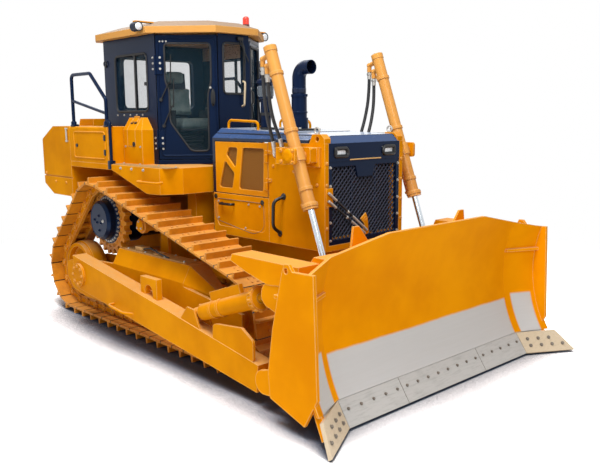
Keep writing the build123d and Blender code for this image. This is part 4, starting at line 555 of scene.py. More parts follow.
def eased(outline, radius, closed=True, steps=4):  # an outline of rigid trim with its corners rounded
    spine, made = [Vector(p) for p in outline], []
    for k, here in enumerate(spine):
        if not closed and k in (0, len(spine) - 1):
            made.append(here)
            continue
        into, away = spine[k - 1] - here, spine[(k + 1) % len(spine)] - here
        reach = min(radius, into.length * 0.48, away.length * 0.48)
        start, end = here + into.normalized() * reach, here + away.normalized() * reach
        for s in range(steps + 1):
            t = s / steps
            made.append(start * (1 - t) ** 2 + here * (2 * t * (1 - t)) + end * t ** 2)
    return made


skins = {}


def landing(node, place, facing, reach=0.3):  # where a line drawn back from the place meets a node
    if node not in skins:
        data = nodes[node].data
        skins[node] = BVHTree.FromPolygons([v.co for v in data.vertices], [p.vertices for p in data.polygons])
    facing = Vector(facing).normalized()
    hit = skins[node].ray_cast(Vector(place) + facing * reach, -facing, reach * 2)[0]
    if hit is None:
        print("no landing on", node, "at", [round(c, 3) for c in place])
        return Vector(place)
    return hit


# lift hoses, from the guard's side up to the elbows on the swinging cylinders
hoses = {
    "radius": 0.017,
    "ferrule": (0.0215, 0.075),  # radius and length of the crimped ends
    "lengths": (0.78, 0.686),
    "guardSide": 0.552,
    "drop": 0.07,  # from a hose's end down to its foot on the guard
    "foot": (0.034, 0.014),  # radius and depth
    "elbow": 0.019,
    "routes": (
        ((1.1135, 0.740, 2.886), (1.1155, 0.738, 2.650), (1.1035, 0.690, 2.400), (1.0975, 0.620, 2.220),
         (1.0995, 0.602, 2.120)),
        ((1.1775, 0.740, 2.818), (1.1875, 0.738, 2.600), (1.1955, 0.690, 2.380), (1.2055, 0.622, 2.230),
         (1.2095, 0.602, 2.150)),
    ),
}


def splineLine(points, name):
    data = bpy.data.curves.new(name, "CURVE")
    data.dimensions = "3D"
    data.resolution_u = 10
    spline = data.splines.new("NURBS")
    spline.points.add(len(points) - 1)
    for knot, place in zip(spline.points, points):
        knot.co = (*place, 1)
    spline.order_u = 3
    spline.use_endpoint_u = True
    guide = addObject(name, data)
    line = solidMesh(guide)
    made = [v.co.copy() for v in line.vertices]
    bpy.data.objects.remove(guide)
    bpy.data.meshes.remove(line)
    return made


def makeHose(name, side, barrel, route, node):
    route = [(x, side * y, z) for x, y, z in route]
    line = splineLine(route, name + "Line")
    radius, reach = hoses["ferrule"]
    upper, lower = line[0], line[-1]
    lead = (line[1] - line[0]).normalized()
    crimp = Form().rod(upper, upper + lead * reach, radius)
    crimp.hoop(upper + lead * reach * 0.15, lead, radius - 0.002, radius + 0.006, 0.022, 6)
    crimp.done(name + "Upper", "zinc", barrel)
    bend = lower - Vector((0, 0, hoses["drop"]))
    foot = Vector((bend.x, side * hoses["guardSide"], bend.z))
    footRadius, footDepth = hoses["foot"]
    tail = (lower - line[-2]).normalized()
    elbow = Form().rod(foot, foot + Vector((0, side * footDepth, 0)), footRadius, 6)
    elbow.pipe(eased([foot, bend, lower], 0.03, False), hoses["elbow"], 12)
    elbow.rod(lower - tail * reach, lower + tail * 0.004, radius)
    elbow.done(name + "Lower", "zinc")
    tube = addObject(name, Form().pipe(line, hoses["radius"], 14).data(name))
    tube.data.materials.append(finishes["rubber"])
    soften(tube.data, 60)
    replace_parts(tube, node)
    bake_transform(tube)


for name, side in sides:
    for mark, route, length in zip("AB", hoses["routes"], hoses["lengths"]):
        makeHose(f"{name}LiftHose{mark}", side, f"{name}_lift_barrel", route, f"{name}_lift_hoses")
print("lift hoses: 4")


# Geometry Nodes trees
def newTree(name, sizes):
    tree = bpy.data.node_groups.new(name, "GeometryNodeTree")
    face = tree.interface
    face.new_socket("Geometry", in_out="INPUT", socket_type="NodeSocketGeometry")
    face.new_socket("Paint", in_out="INPUT", socket_type="NodeSocketMaterial")
    for label, value in sizes.items():
        face.new_socket(label, in_out="INPUT", socket_type="NodeSocketFloat").default_value = value
    face.new_socket("Geometry", in_out="OUTPUT", socket_type="NodeSocketGeometry")
    g = Graph(tree)
    source = g.node("NodeGroupInput").socket.node
    return g, {socket.name: Wire(socket) for socket in source.outputs if socket.name}


def closeTree(g, geometry, paint):
    solid = g.node("GeometryNodeRealizeInstances", inputs={"Geometry": geometry})
    painted = g.node("GeometryNodeSetMaterial", inputs={"Geometry": solid, "Material": paint})
    g.node("NodeGroupOutput", inputs={"Geometry": painted})
    return g.tree


def named(g, label, kind):
    return g.node("GeometryNodeInputNamedAttribute", {"data_type": kind}, {"Name": label})


def onPoints(g, points, shape, axis, label, **more):  # a copy at each point, its axis turned to the named attribute
    turn = g.node("FunctionNodeAlignRotationToVector", {"axis": axis}, {"Vector": named(g, label, "FLOAT_VECTOR")})
    return g.node("GeometryNodeInstanceOnPoints",
                  inputs={"Points": points, "Instance": shape, "Rotation": turn, **more})


def drum(g, count, radius, depth, lift):
    made = g.node("GeometryNodeMeshCylinder", inputs={"Vertices": count, "Radius": radius, "Depth": depth})
    shift = g.node("ShaderNodeCombineXYZ", inputs={"Z": lift})
    return g.node("GeometryNodeTransform", inputs={"Geometry": made, "Translation": shift})


def makeBoltTree():
    g, given = newTree("hexBolts", {"Head Height": 0.42, "Washer Width": 0.66, "Washer Height": 0.12})
    head = drum(g, 6, 0.5, given["Head Height"], given["Washer Height"] + given["Head Height"] * 0.5)
    washer = drum(g, 12, given["Washer Width"], given["Washer Height"], given["Washer Height"] * 0.5)
    shape = g.node("GeometryNodeJoinGeometry", inputs={"Geometry": [head, washer]})
    spread = onPoints(g, given["Geometry"], shape, "Z", "facing", Scale=named(g, "size", "FLOAT"))
    return closeTree(g, spread, given["Paint"])


def makeChainTree():
    g, given = newTree("trackLinks", {"Boss Radius": 0.047, "Boss Height": 0.022, "Pin Radius": 0.023,
                                      "Pin Height": 0.030, "Half Pitch": 0.108, "Web Height": 0.058})
    boss = drum(g, 12, given["Boss Radius"], given["Boss Height"], given["Boss Height"] * 0.5)
    pin = drum(g, 8, given["Pin Radius"], given["Pin Height"], given["Pin Height"] * 0.5)
    eye = g.node("GeometryNodeJoinGeometry", inputs={"Geometry": [boss, pin]})
    eyes = onPoints(g, given["Geometry"], eye, "Z", "facing")
    half = g.node("ShaderNodeVectorMath", {"operation": "SCALE"},
                  {0: named(g, "along", "FLOAT_VECTOR"), "Scale": given["Half Pitch"]})
    middles = g.node("GeometryNodeSetPosition", inputs={"Geometry": given["Geometry"], "Offset": half})
    size = g.node("ShaderNodeCombineXYZ", inputs={"X": given["Half Pitch"] * 1.3, "Y": 0.016, "Z": given["Web Height"]})
    web = g.node("GeometryNodeMeshCube", inputs={"Size": size})
    webs = onPoints(g, middles, web, "X", "along")
    return closeTree(g, g.node("GeometryNodeJoinGeometry", inputs={"Geometry": [eyes, webs]}), given["Paint"])


def makeGapTree():
    # dark strips that show where one shoe ends and the next begins
    g, given = newTree("shoeGaps", {"Gap": 0.013, "Width": 0.562, "Height": 0.0275})
    size = g.node("ShaderNodeCombineXYZ", inputs={"X": given["Gap"], "Y": given["Width"], "Z": given["Height"]})
    strip = g.node("GeometryNodeMeshCube", inputs={"Size": size})
    return closeTree(g, onPoints(g, given["Geometry"], strip, "X", "along"), given["Paint"])


def makeMeshTree(setup):
    # a square grid turned to diamonds, cut to a rectangle and given thickness
    g, given = newTree("diamondMesh", {"Half Width": 0.45, "Half Height": 0.36, "Wire": 0.0032})
    grid = g.node("GeometryNodeMeshGrid", inputs={"Size X": setup["span"], "Size Y": setup["span"],
                                                  "Vertices X": setup["count"], "Vertices Y": setup["count"]})
    turned = g.node("GeometryNodeTransform", inputs={"Geometry": grid, "Rotation": (0, 0, math.radians(45))})
    split = g.node("ShaderNodeSeparateXYZ", inputs={"Vector": g.node("GeometryNodeInputPosition")}).socket.node
    x, y = Wire(split.outputs[0]), Wire(split.outputs[1])
    outside = (abs(x) > given["Half Width"]) + (abs(y) > given["Half Height"])
    cut = g.node("GeometryNodeDeleteGeometry", {"domain": "POINT"}, {"Geometry": turned, "Selection": outside})
    lines = g.node("GeometryNodeMeshToCurve", inputs={"Mesh": cut})
    section = g.node("GeometryNodeCurvePrimitiveCircle", inputs={"Resolution": 4, "Radius": given["Wire"]})
    wires = g.node("GeometryNodeCurveToMesh", inputs={"Curve": lines, "Profile Curve": section})
    upright = (math.radians(90), 0, math.radians(90))
    stood = g.node("GeometryNodeTransform", inputs={"Geometry": wires, "Rotation": upright,
                                                    "Translation": setup["middle"]})
    return closeTree(g, stood, given["Paint"])


def grow(name, points, tree, finish, body, sizes=None):
    # points: dictionaries with a place and any of facing, along, size
    data = bpy.data.meshes.new(name + "Points")
    data.from_pydata([p["place"] for p in points], [], [])
    for label in points[0]:
        if label != "place":
            single = label == "size"
            field = data.attributes.new(label, "FLOAT" if single else "FLOAT_VECTOR", "POINT")
            values = [p[label] for p in points]
            field.data.foreach_set("value" if single else "vector",
                                   values if single else [c for value in values for c in value])
    piece = addObject(name, data)
    modifier = piece.modifiers.new("grow", "NODES")
    modifier.node_group = tree
    wanted = dict(sizes or {}, Paint=finishes[finish])
    for item in tree.interface.items_tree:
        if item.in_out == "INPUT" and item.name in wanted:
            modifier[item.identifier] = wanted[item.name]
    piece.data = solidMesh(piece)
    soften(piece.data, 35)
    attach(piece, body)


boltRows = {}


def stud(finish, place, facing, size, body="tractor"):  # a bolt right at the place
    row = boltRows.setdefault((finish, body), [])
    row.append({"place": tuple(place), "facing": tuple(Vector(facing).normalized()), "size": size})


def bolt(finish, node, place, facing, size, body="tractor"):  # a bolt where the place lands on the node
    stud(finish, landing(node, place, facing), facing, size, body)


def boltRing(finish, node, middle, axis, radius, count, size, body="tractor"):
    axis = Vector(axis).normalized()
    side = axis.orthogonal().normalized()
    up = axis.cross(side)
    for k in range(count):
        a = 2 * math.pi * k / count
        bolt(finish, node, Vector(middle) + (side * math.cos(a) + up * math.sin(a)) * radius, axis, size, body)


# tracks: link eyes, pins, shoe bolts and the dark gaps between shoes round the loop
chain = {
    "wheels": ((-2.1805, 0.5303), (1.1405, 0.5303), (-1.4805, 1.225)),  # rear idler, front idler, sprocket
    "radius": 0.4003,
    "pitch": 0.216,
    "links": 44,
    "middle": 0.99,
    "railFace": 0.1175,
    "shoeFace": 0.065,
    "gapLift": 0.052,
    "boltShares": (0.17, 0.45),
    "boltOffsets": (-0.13, -0.065, 0.065, 0.13),
    "boltSize": 0.023,
}


def loopLine(setup, step=0.004):
    # the pitch line as many close points, anticlockwise seen with X to the right
    wheels, made = [Vector(w) for w in setup["wheels"]], []
    turn = [(wheels[(k + 1) % 3] - wheels[k]).normalized() for k in range(3)]
    for k in range(3):
        out = Vector((turn[k].y, -turn[k].x)) * setup["radius"]
        start, end = wheels[k] + out, wheels[(k + 1) % 3] + out
        count = int((end - start).length / step)
        made += [start.lerp(end, s / count) for s in range(count)]
        before, after = math.atan2(out.y, out.x), math.atan2(-turn[(k + 1) % 3].x, turn[(k + 1) % 3].y)
        sweep = (after - before) % (2 * math.pi)
        count = int(sweep * setup["radius"] / step)
        arc = [before + sweep * s / count for s in range(count)]
        made += [wheels[(k + 1) % 3] + Vector((math.cos(a), math.sin(a))) * setup["radius"] for a in arc]
    return made


def pinPlaces(setup):
    line = loopLine(setup)
    pins, here = [line[0]], line[0]
    for point, after in zip(line, line[1:] + line[:1]):
        near, far = (point - here).length, (after - here).length
        if far >= setup["pitch"] and len(pins) < setup["links"]:
            here = point.lerp(after, (setup["pitch"] - near) / max(1e-6, far - near))
            pins.append(here)
    return pins


pins = pinPlaces(chain)
chainTree, gapTree, boltTree = makeChainTree(), makeGapTree(), makeBoltTree()
for name, side in sides:
    eyes, shoeBolts = [], []
    for here, after in zip(pins, pins[1:] + pins[:1]):
        ahead = (after - here).normalized()
        out = Vector((ahead.y, 0, -ahead.x))
        along = Vector((ahead.x, 0, ahead.y))
        for face in (-1, 1):
            y = side * chain["middle"] + face * chain["railFace"]
            eyes.append({"place": (here.x, y, here.y), "facing": (0, face, 0), "along": tuple(along)})
        for share in chain["boltShares"]:
            for offset in chain["boltOffsets"]:
                spot = Vector((here.x, side * chain["middle"] + offset, here.y)) + along * chain["pitch"] * share
                spot += out * chain["shoeFace"]
                shoeBolts.append({"place": tuple(spot), "facing": tuple(out), "size": chain["boltSize"]})
    gaps = []
    for before, here, after in zip(pins[-1:] + pins[:-1], pins, pins[1:] + pins[:1]):
        ahead = (after - before).normalized()
        out = Vector((ahead.y, 0, -ahead.x))
        spot = Vector((here.x, side * chain["middle"], here.y)) + out * chain["gapLift"]
        gaps.append({"place": tuple(spot), "along": (ahead.x, 0, ahead.y)})
    grow(name + "ShoeGaps", gaps, gapTree, "black", "tractor")
    grow(name + "ChainLinks", eyes, chainTree, "yellow", "tractor")
    grow(name + "ShoeBolts", shoeBolts, boltTree, "track", "tractor", {"Washer Width": 0.52, "Head Height": 0.3})
print("track links:", len(pins) * 2)


# running gear: hub plugs, rim bolts, idler rings, carrier caps, recoil covers
gear = {
    "hub": (-1.4805, 1.225), "hubFace": 1.155,
    "rim": (1.05, 0.262, 30, 0.026), "teeth": (1.03, 0.318, 23, 0.034),  # face, radius, bolts, size
    "plugs": ((0, 0.105, "zinc"), (180, 0.105, "navy"), (90, 0.055, "navy"), (210, 0.055, "navy"),
              (330, 0.055, "navy"), (270, 0.120, "navy")),  # angle, radius, finish
    "plugShape": ((0.019, -0.002), (0.019, 0.004), (0.012, 0.006), (0.012, 0.014), (0.009, 0.016)),
    "idlers": (("Rear", -2.1805, 0.5303), ("Front", 1.1405, 0.5303)), "idlerFace": 1.1075,
    "carrier": (-0.5805, 1.2523), "carrierFace": 1.1225, "lobe": 0.048,
    "recoilY": 0.99, "recoilTop": 0.93, "recoilX": (-1.02, 0.22), "recoilHalf": 0.092,
}
for name, side in sides:
    out = (0, side, 0)
    x, z = gear["hub"]
    cap = Form().hoop((x, side * gear["hubFace"], z), out, 0.196, 0.204, 0.003, 40)
    for angle, radius, finish in gear["plugs"]:
        a = math.radians(angle)
        spot = (x + radius * math.cos(a), side * gear["hubFace"], z + radius * math.sin(a))
        plug = Form() if finish == "zinc" else cap
        plug.turned(gear["plugShape"], spot, out, 8)
        if plug is not cap:
            plug.done(name + "HubLevelPlug", finish)
    cap.done(name + "HubPlugs", "navy")
    for node, finish, ring in (("final_drives", "zinc", "rim"), ("sprockets", "track", "teeth")):
        face, radius, count, size = gear[ring]
        boltRing(finish, node, (x, side * face, z), out, radius, count, size)
    for end, x, z in gear["idlers"]:
        face = landing("idlers", (x, side * gear["idlerFace"], z + 0.27), out).y
        Form().hoop((x, face, z), out, 0.245, 0.268, 0.006, 40).done(f"{name}IdlerRing{end}", "yellow")
    (x, z), y = gear["carrier"], side * gear["carrierFace"]
    lobe = Form().turned([(0.070, 0), (0.070, 0.008), (0.056, 0.016), (0.030, 0.020)], (x, y, z), out)
    for k in range(3):
        a = math.radians(90 + 120 * k)
        lx, lz = x + gear["lobe"] * math.cos(a), z + gear["lobe"] * math.sin(a)
        lobe.turned([(0.030, 0), (0.030, 0.010), (0.024, 0.016)], (lx, y, lz), out, 12)
        stud("zinc", (lx, y + side * 0.016, lz), out, 0.018)
    lobe.done(name + "CarrierCap", "yellow")
    y, top, half = side * gear["recoilY"], gear["recoilTop"], gear["recoilHalf"]
    rear, front = gear["recoilX"]
    cover = Form().block((rear, y - half, top - 0.004), (front, y + half, top + 0.010))
    cover.hoop((-0.42, y, top + 0.010), skyward, 0.045, 0.066, 0.012, 24)
    cover.block((-0.86, y - 0.05, top + 0.008), (-0.70, y + 0.05, top + 0.052), 0.006)
    cover.done(name + "RecoilCover", "dusty")
    for x in (rear + 0.05, -0.6, -0.2, front - 0.05):
        for w in (-0.07, 0.07):
            stud("zinc", (x, y + w, top + 0.010), skyward, 0.024)
    route = [(x, y + side * w, top + z) for x, w, z in ((-0.70, 0.03, 0.03), (-0.56, 0.03, 0.06),
                                                        (-0.30, 0.07, 0.035), (-0.12, 0.07, 0.012))]
    Form().pipe(eased(route, 0.05, False), 0.009).done(name + "GreaseTube", "rubber")
print("running gear trimmed")


# blade: bolts and seams on the cutting edge, bolts on the end bits
edges = {
    "low": (2.7755, 0, 0.026), "high": (2.6449, 0, 0.216), "normal": (0.824, 0, 0.566),
    "seams": (-0.575, 0.575), "seamHalf": 0.002, "seamHeight": 0.0015,
    "boltLine": (2.6945, 0.144), "edgeBolt": 0.022,
    "middleBolts": [-0.51 + 1.02 * k / 7 for k in range(8)], "outerBolts": [0.64 + 0.60 * k / 4 for k in range(5)],
    "bitFoot": (2.7755, 1.31, 0.026), "bitRise": (-0.1306, 0, 0.19), "bitOut": (0.275, 0.47, 0),
    "bitRows": ((0.34, 4), (0.66, 3)), "bitBolt": 0.028,  # rows: share of the height, bolts
}
x, z = edges["boltLine"]
for y in edges["middleBolts"] + edges["outerBolts"] + [-y for y in edges["outerBolts"]]:
    bolt("iron", "cutting_edge", (x, y, z), edges["normal"], edges["edgeBolt"], "blade")
seams, half = Form(), Vector((0, edges["seamHalf"], 0))
for y in edges["seams"]:
    low, high = [Vector(edges[end]) + Vector((0, y, 0)) for end in ("low", "high")]
    seams.plate([low - half, low + half, high + half, high - half], Vector(edges["normal"]) * edges["seamHeight"])
seams.done("edgeSeams", "iron", "blade")
for name, side in sides:
    foot, rise, out = [Vector((x, side * y, z)) for x, y, z in (edges["bitFoot"], edges["bitRise"], edges["bitOut"])]
    normal = out.cross(rise)
    normal = normal if normal.x > 0 else -normal
    for share, count in edges["bitRows"]:
        for k in range(count):
            spot = foot + rise * share + out * (0.16 + 0.22 * k)
            bolt("iron", "end_bits", spot, normal, edges["bitBolt"], "blade")


# cab: gaskets round the glass, hinges, handles, wipers, headliner, controls
cab = {
    "sideWindow": (-1.6405, -0.9205, 2.5004, 3.1499), "sideFace": 0.75,
    "rearWindow": (0.52, 2.5403, 3.1603), "rearFace": -1.9145,
    "frontWindow": (0.15, 2.6903, 3.2502), "frontFace": -0.2865,
    "corner": 0.07, "gasket": 0.013,
    "doorHinge": (-0.7425, 0.75), "doorAlong": (0.6522, -0.7580), "doorOut": (0.7580, 0.6522),  # left side
    "pane": ((0.104, 3.24), (0.6152, 3.24), (0.6152, 2.8197), (0.5752, 2.6804), (0.5752, 2.0493), (0.3752, 2.0493),
             (0.144, 2.3791), (0.144, 2.7399), (0.104, 2.8197)),
    "rim": ((0.035, 3.29), (0.665, 3.29), (0.665, 2.0), (0.035, 2.0)),
    "hingeBolts": (3.087, 3.025, 2.964, 2.199, 2.138, 2.078), "topBolts": (0.057, 0.091, 0.127),
    "sillBolts": (-1.627, -1.474, -1.33, -1.186, -1.051),
    "doorWipers": (((0.052, 2.625), (0.150, 2.82)), ((0.075, 2.335), (0.175, 2.56))),  # pivot, elbow
    "frontWipers": (((0.063, 3.306), (0.20, 3.05)), ((0.106, 3.309), (0.150, 3.04))),
    "lens": (-0.8055, 0.905, 3.42), "leverY": 0.44, "shelf": 2.5103,
}


def frameLoop(points, name, radius=None, corner=None, finish="rubber", body="tractor"):
    Form().pipe(eased(points, corner or cab["corner"]), radius or cab["gasket"], 8, True).done(name, finish, body)


def crossPane(x, half, low, high):
    return [(x, -half, low), (x, half, low), (x, half, high), (x, -half, high)]


def oval(wide, tall, count):
    return [(wide * math.cos(2 * math.pi * k / count), tall * math.sin(2 * math.pi * k / count)) for k in range(count)]


for name, side in sides:
    rear, front, low, high = cab["sideWindow"]
    y = side * cab["sideFace"]
    frameLoop([(rear, y, low), (front, y, low), (front, y, high), (rear, y, high)], name + "SideGasket")
    slider = Form().block((-1.212, y, low), (-1.180, y - side * 0.028, high))
    slider.block((-0.985, y - side * 0.02, 2.79), (-0.935, y + side * 0.01, 2.83), 0.006)
    slider.done(name + "WindowSlider", "black")
    hook = Form().pipe([(-1.862 + u, y + side * 0.016, 3.08 + w) for u, w in oval(0.03, 0.03, 20)], 0.007, 8, True)
    hook.block((-1.885, y - side * 0.004, 3.035), (-1.845, y + side * 0.014, 3.06))
    hook.done(name + "CabHook", "black")
    for x in cab["sillBolts"]:
        bolt("zinc", "cab_side_walls", (x, y, 2.46), (0, side, 0), 0.018)
    for z in cab["hingeBolts"]:
        bolt("zinc", "cab_side_walls", (-0.79, y, z), (0, side, 0), 0.020)
frameLoop(crossPane(cab["rearFace"], *cab["rearWindow"]), "rearGasket")
frameLoop(crossPane(cab["frontFace"], *cab["frontWindow"]), "frontGasket", corner=0.05)
x = cab["frontFace"]
wipers = Form()
for start, end in cab["frontWipers"]:
    wipers.pipe([(x + 0.004, *start), (x + 0.026, *start), (x + 0.024, *end)], 0.007, 8)
wipers.block((x + 0.010, 0.138, 2.86), (x + 0.022, 0.152, 3.20), 0.003)
wipers.block((x - 0.002, 0.045, 3.285), (x + 0.030, 0.125, 3.325), 0.006)
wipers.done("frontWipers", "black")
grip = [(x, 0.128, 2.83), (x + 0.04, 0.128, 2.82), (x + 0.04, 0.112, 2.56), (x, 0.112, 2.55)]
Form().pipe(eased(grip, 0.03, False), 0.012).done("frontGrip", "beige")


def onDoor(side, u, z, w=0.0):  # a point on the door's face: along, height, outward
    (hx, hy), (ax, ay), (ox, oy) = cab["doorHinge"], cab["doorAlong"], cab["doorOut"]
    return Vector((hx + ax * u + ox * w, side * (hy + ay * u + oy * w), z))


for name, side in sides:
    door = f"{name}_cab_door"
    out = Vector((cab["doorOut"][0], side * cab["doorOut"][1], 0))
    frameLoop([onDoor(side, u, z) for u, z in cab["pane"]], name + "DoorGasket", 0.012, 0.05, body=door)
    frameLoop([onDoor(side, u, z) for u, z in cab["rim"]], name + "DoorRim", 0.008, 0.05, "navy", door)
    handle = Form()
    plate = [onDoor(side, 0.632 + u, 2.645 + w, -0.002) for u, w in oval(0.026, 0.098, 28)]
    handle.plate(plate, out * 0.012, 0.004)
    pull = ((2.725, 0.006), (2.705, 0.034), (2.59, 0.034), (2.565, 0.006))
    handle.pipe([onDoor(side, 0.632, z, w) for z, w in pull], 0.011, 8)
    handle.done(name + "DoorHandle", "black", door)
    lock = Form().rod(onDoor(side, 0.604, 2.755, -0.002), onDoor(side, 0.604, 2.755, 0.012), 0.014)
    lock.done(name + "DoorLock", "zinc", door)
    arms = Form()
    for pivot, (u, z) in cab["doorWipers"]:
        arms.rod(onDoor(side, *pivot, -0.002), onDoor(side, *pivot, 0.028), 0.020)
        arms.pipe([onDoor(side, *pivot, 0.022), onDoor(side, u, z, 0.024)], 0.008, 8)
        arms.pipe([onDoor(side, u + 0.012, z - 0.02, 0.017), onDoor(side, u + 0.026, z + 0.30, 0.017)], 0.007, 8)
    arms.done(name + "DoorWipers", "black", door)
    for z in cab["hingeBolts"]:
        bolt("zinc", door, onDoor(side, 0.055, z), out, 0.020, door)
    for u in cab["topBolts"]:
        bolt("zinc", door, onDoor(side, u, 3.262), out, 0.016, door)
    x, y, z = cab["lens"]
    lens = (x, side * y, z)
    glass = Form().turned([(0.044, -0.004), (0.044, 0.002), (0.034, 0.008), (0.016, 0.011)], lens, forward, 24)
    glass.done(name + "RoofLens", "lamp")
    rim = Form().hoop(lens, forward, 0.043, 0.0535, 0.008, 28)
    rim.turned([(0.050, -0.105), (0.050, -0.092), (0.030, -0.088)], lens, forward, 20)
    rim.done(name + "RoofLampRim", "black")
    seal = Form().pipe([onDoor(side, 0.690, z, -0.082) for z in (1.97, 2.65, 3.33)], 0.015, 8)
    seal.done(name + "DoorSeal", "rubber")
liner = Form().block((-1.83, -0.66, 3.335), (-0.78, 0.66, 3.3495))
liner.plate([(-0.79, -0.60, 3.336), (-0.36, -0.16, 3.336), (-0.36, 0.16, 3.336), (-0.79, 0.60, 3.336)], (0, 0, 0.013))
for name, side in sides:
    liner.block((-1.84, side * 0.672, 3.165), (-0.80, side * 0.705, 3.335))
liner.block((-1.875, -0.66, 3.175), (-1.845, 0.66, 3.335))
liner.done("roofLiner", "liner")
levers, z = Form(), cab["shelf"]
for y in (-cab["leverY"], cab["leverY"]):
    levers.turned([(0.038, 0), (0.034, 0.02), (0.022, 0.05), (0.016, 0.06)], (-1.08, y, z), skyward, 14)
    levers.rod((-1.08, y, 2.56), (-1.07, y, 2.64), 0.011)
    levers.turned([(0.016, 0), (0.024, 0.03), (0.026, 0.07), (0.018, 0.10)], (-1.07, y, 2.63), (0.15, 0, 1), 14)
    levers.block((-1.42, y - 0.06, z), (-1.16, y + 0.06, 2.555), 0.018)
levers.done("controlLevers", "plastic")
print("cab trimmed")


# seat: swollen pads on a rigid base
seat = {
    "voxel": 0.008, "pressure": 4.0, "cap": 0.022, "frames": 20, "edge": 0.032,
    "pads": {  # low corner, high corner, lean per metre
        "seatCushion": ((-1.500, -0.24, 2.300), (-1.010, 0.24, 2.395), 0.0),
        "seatBack": ((-1.520, -0.215, 2.440), (-1.435, 0.215, 2.800), -0.088),
        "seatHeadrest": ((-1.548, -0.125, 2.850), (-1.475, 0.125, 2.995), -0.088),
    },
}


def swell(piece):
    rest = [v.co.copy() for v in piece.data.vertices]
    modifier = piece.modifiers.new("pressure", "CLOTH")
    settings = modifier.settings
    settings.quality, settings.mass = 4, 0.3
    settings.use_pressure, settings.uniform_pressure_force = True, seat["pressure"]
    settings.effector_weights.gravity = 0
    modifier.point_cache.frame_end = seat["frames"]
    for number in range(1, seat["frames"] + 1):
        bpy.context.scene.frame_set(number)
    ready = solidMesh(piece)
    for v, start in zip(ready.vertices, rest):
        move = v.co - start
        if move.length > seat["cap"]:
            v.co = start + move.normalized() * seat["cap"]
    piece.data = ready
    bpy.context.scene.frame_set(1)


def makePad(name, low, high, lean):
    form = Form().block(low, high, seat["edge"])
    for v in form.mesh.verts:
        v.co.x += lean * (v.co.z - low[2])
    piece = addObject(name, form.data(name))
    remesh = piece.modifiers.new("remesh", "REMESH")
    remesh.mode, remesh.voxel_size = "VOXEL", seat["voxel"]
    piece.data = solidMesh(piece)
    swell(piece)
    piece.data.materials.clear()
    piece.data.materials.append(finishes["seat"])
    piece.data.shade_smooth()
    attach(piece, "tractor")
    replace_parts(piece, "seat")


for name, (low, high, lean) in seat["pads"].items():
    makePad(name, low, high, lean)
base = Form().block((-1.44, -0.19, 1.9506), (-1.14, 0.19, 2.06), 0.012)
for k in range(4):
    z, inset = 2.06 + 0.05 * k, 0.012 * (k % 2)
    base.block((-1.43 + inset, -0.18, z), (-1.15 - inset, 0.18, z + 0.048), 0.016)
base.block((-1.51, -0.25, 2.262), (-1.02, 0.25, 2.292), 0.010)
base.plate([(-1.545, -0.20, 2.30), (-1.53, -0.20, 2.30), (-1.585, -0.20, 2.98), (-1.60, -0.20, 2.98)], (0, 0.40, 0))
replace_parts(base.done("seatBase", "plastic"), "seat")
print("seat made")


# hood top: base plates, exhaust sleeve, pre-cleaner bowl, panel seams, brow over the nose
hoodTop = {
    "rearX": 0.0195, "rearZ": 2.31, "fall": 0.0357, "exhaust": (0.7195, 0.08), "cleaner": (0.4195, -0.13),
    "seams": (0.56, 1.12), "half": 0.43, "chamferSeam": (0.03, 1.64, 0.492), "ribs": 24,
    "brow": ((1.697, 0.43, 2.2505), (1.7365, 0.49, 2.1795)),
}


def hoodZ(x):
    return hoodTop["rearZ"] - hoodTop["fall"] * (x - hoodTop["rearX"])


x, y = hoodTop["exhaust"]
plates = Form().block((x - 0.17, y - 0.15, hoodZ(x) - 0.012), (x + 0.17, y + 0.15, hoodZ(x) + 0.016), 0.006)
for u, w in ((-0.14, -0.12), (-0.14, 0.12), (0.14, -0.12), (0.14, 0.12)):
    stud("zinc", (x + u, y + w, hoodZ(x) + 0.016), skyward, 0.026)
cx, cy = hoodTop["cleaner"]
plates.turned([(0.105, -0.010), (0.105, 0.012), (0.096, 0.018), (0.060, 0.022)], (cx, cy, hoodZ(cx)), skyward, 28)
plates.done("hoodBasePlates", "black")
boltRing("zinc", "hood", (cx, cy, hoodZ(cx)), skyward, 0.118, 6, 0.02)
sleeve = Form()
for z, inner, outer, tall in ((2.40, 0.0722, 0.081, 0.26), (2.46, 0.080, 0.088, 0.02), (2.63, 0.080, 0.086, 0.03)):
    sleeve.hoop((x, y, z), skyward, inner, outer, tall, 32)
sleeve.block((x + 0.076, y - 0.02, 2.632), (x + 0.112, y + 0.02, 2.658))
sleeve.done("exhaustSleeve", "navy")
Form().hoop((x, y, 2.672), skyward, 0.0722, 0.0755, 0.05, 32).done("exhaustBand", "hood")
bowl = Form().hoop((cx, cy, 2.638), skyward, 0.0802, 0.0845, 0.112, 32)
for u, w in oval(0.0845, 0.0845, hoodTop["ribs"]):
    bowl.rod((cx + u, cy + w, 2.645), (cx + u, cy + w, 2.743), 0.003, 6, 0.001)
bowl.done("cleanerBowl", "bowl")
clamp = Form().hoop((cx, cy, 2.44), skyward, 0.0552, 0.063, 0.03, 28)
clamp.block((cx + 0.058, cy - 0.022, 2.438), (cx + 0.10, cy + 0.022, 2.472))
clamp.hoop((cx, cy, 2.79), skyward, 0.05, 0.060, 0.018, 28)
clamp.done("cleanerClamp", "black")
seams, half = Form(), hoodTop["half"]
for x in hoodTop["seams"]:
    seams.block((x - 0.006, -half, hoodZ(x) - 0.006), (x + 0.006, half, hoodZ(x) + 0.004), 0.002)
seams.done("hoodSeams", "black")
for name, side in sides:
    rear, front, y = hoodTop["chamferSeam"]
    a, b = [landing("hood", (x, side * y, hoodZ(x)), skyward) for x in (rear, front)]
    Form().pipe([a, a.lerp(b, 0.5), b], 0.005, 6).done(name + "ChamferSeam", "black")
(topX, topY, topZ), (lowX, lowY, lowZ) = hoodTop["brow"]
brow = [(topX, -topY, topZ), (topX, topY, topZ), (lowX, lowY, lowZ), (lowX, -lowY, lowZ)]
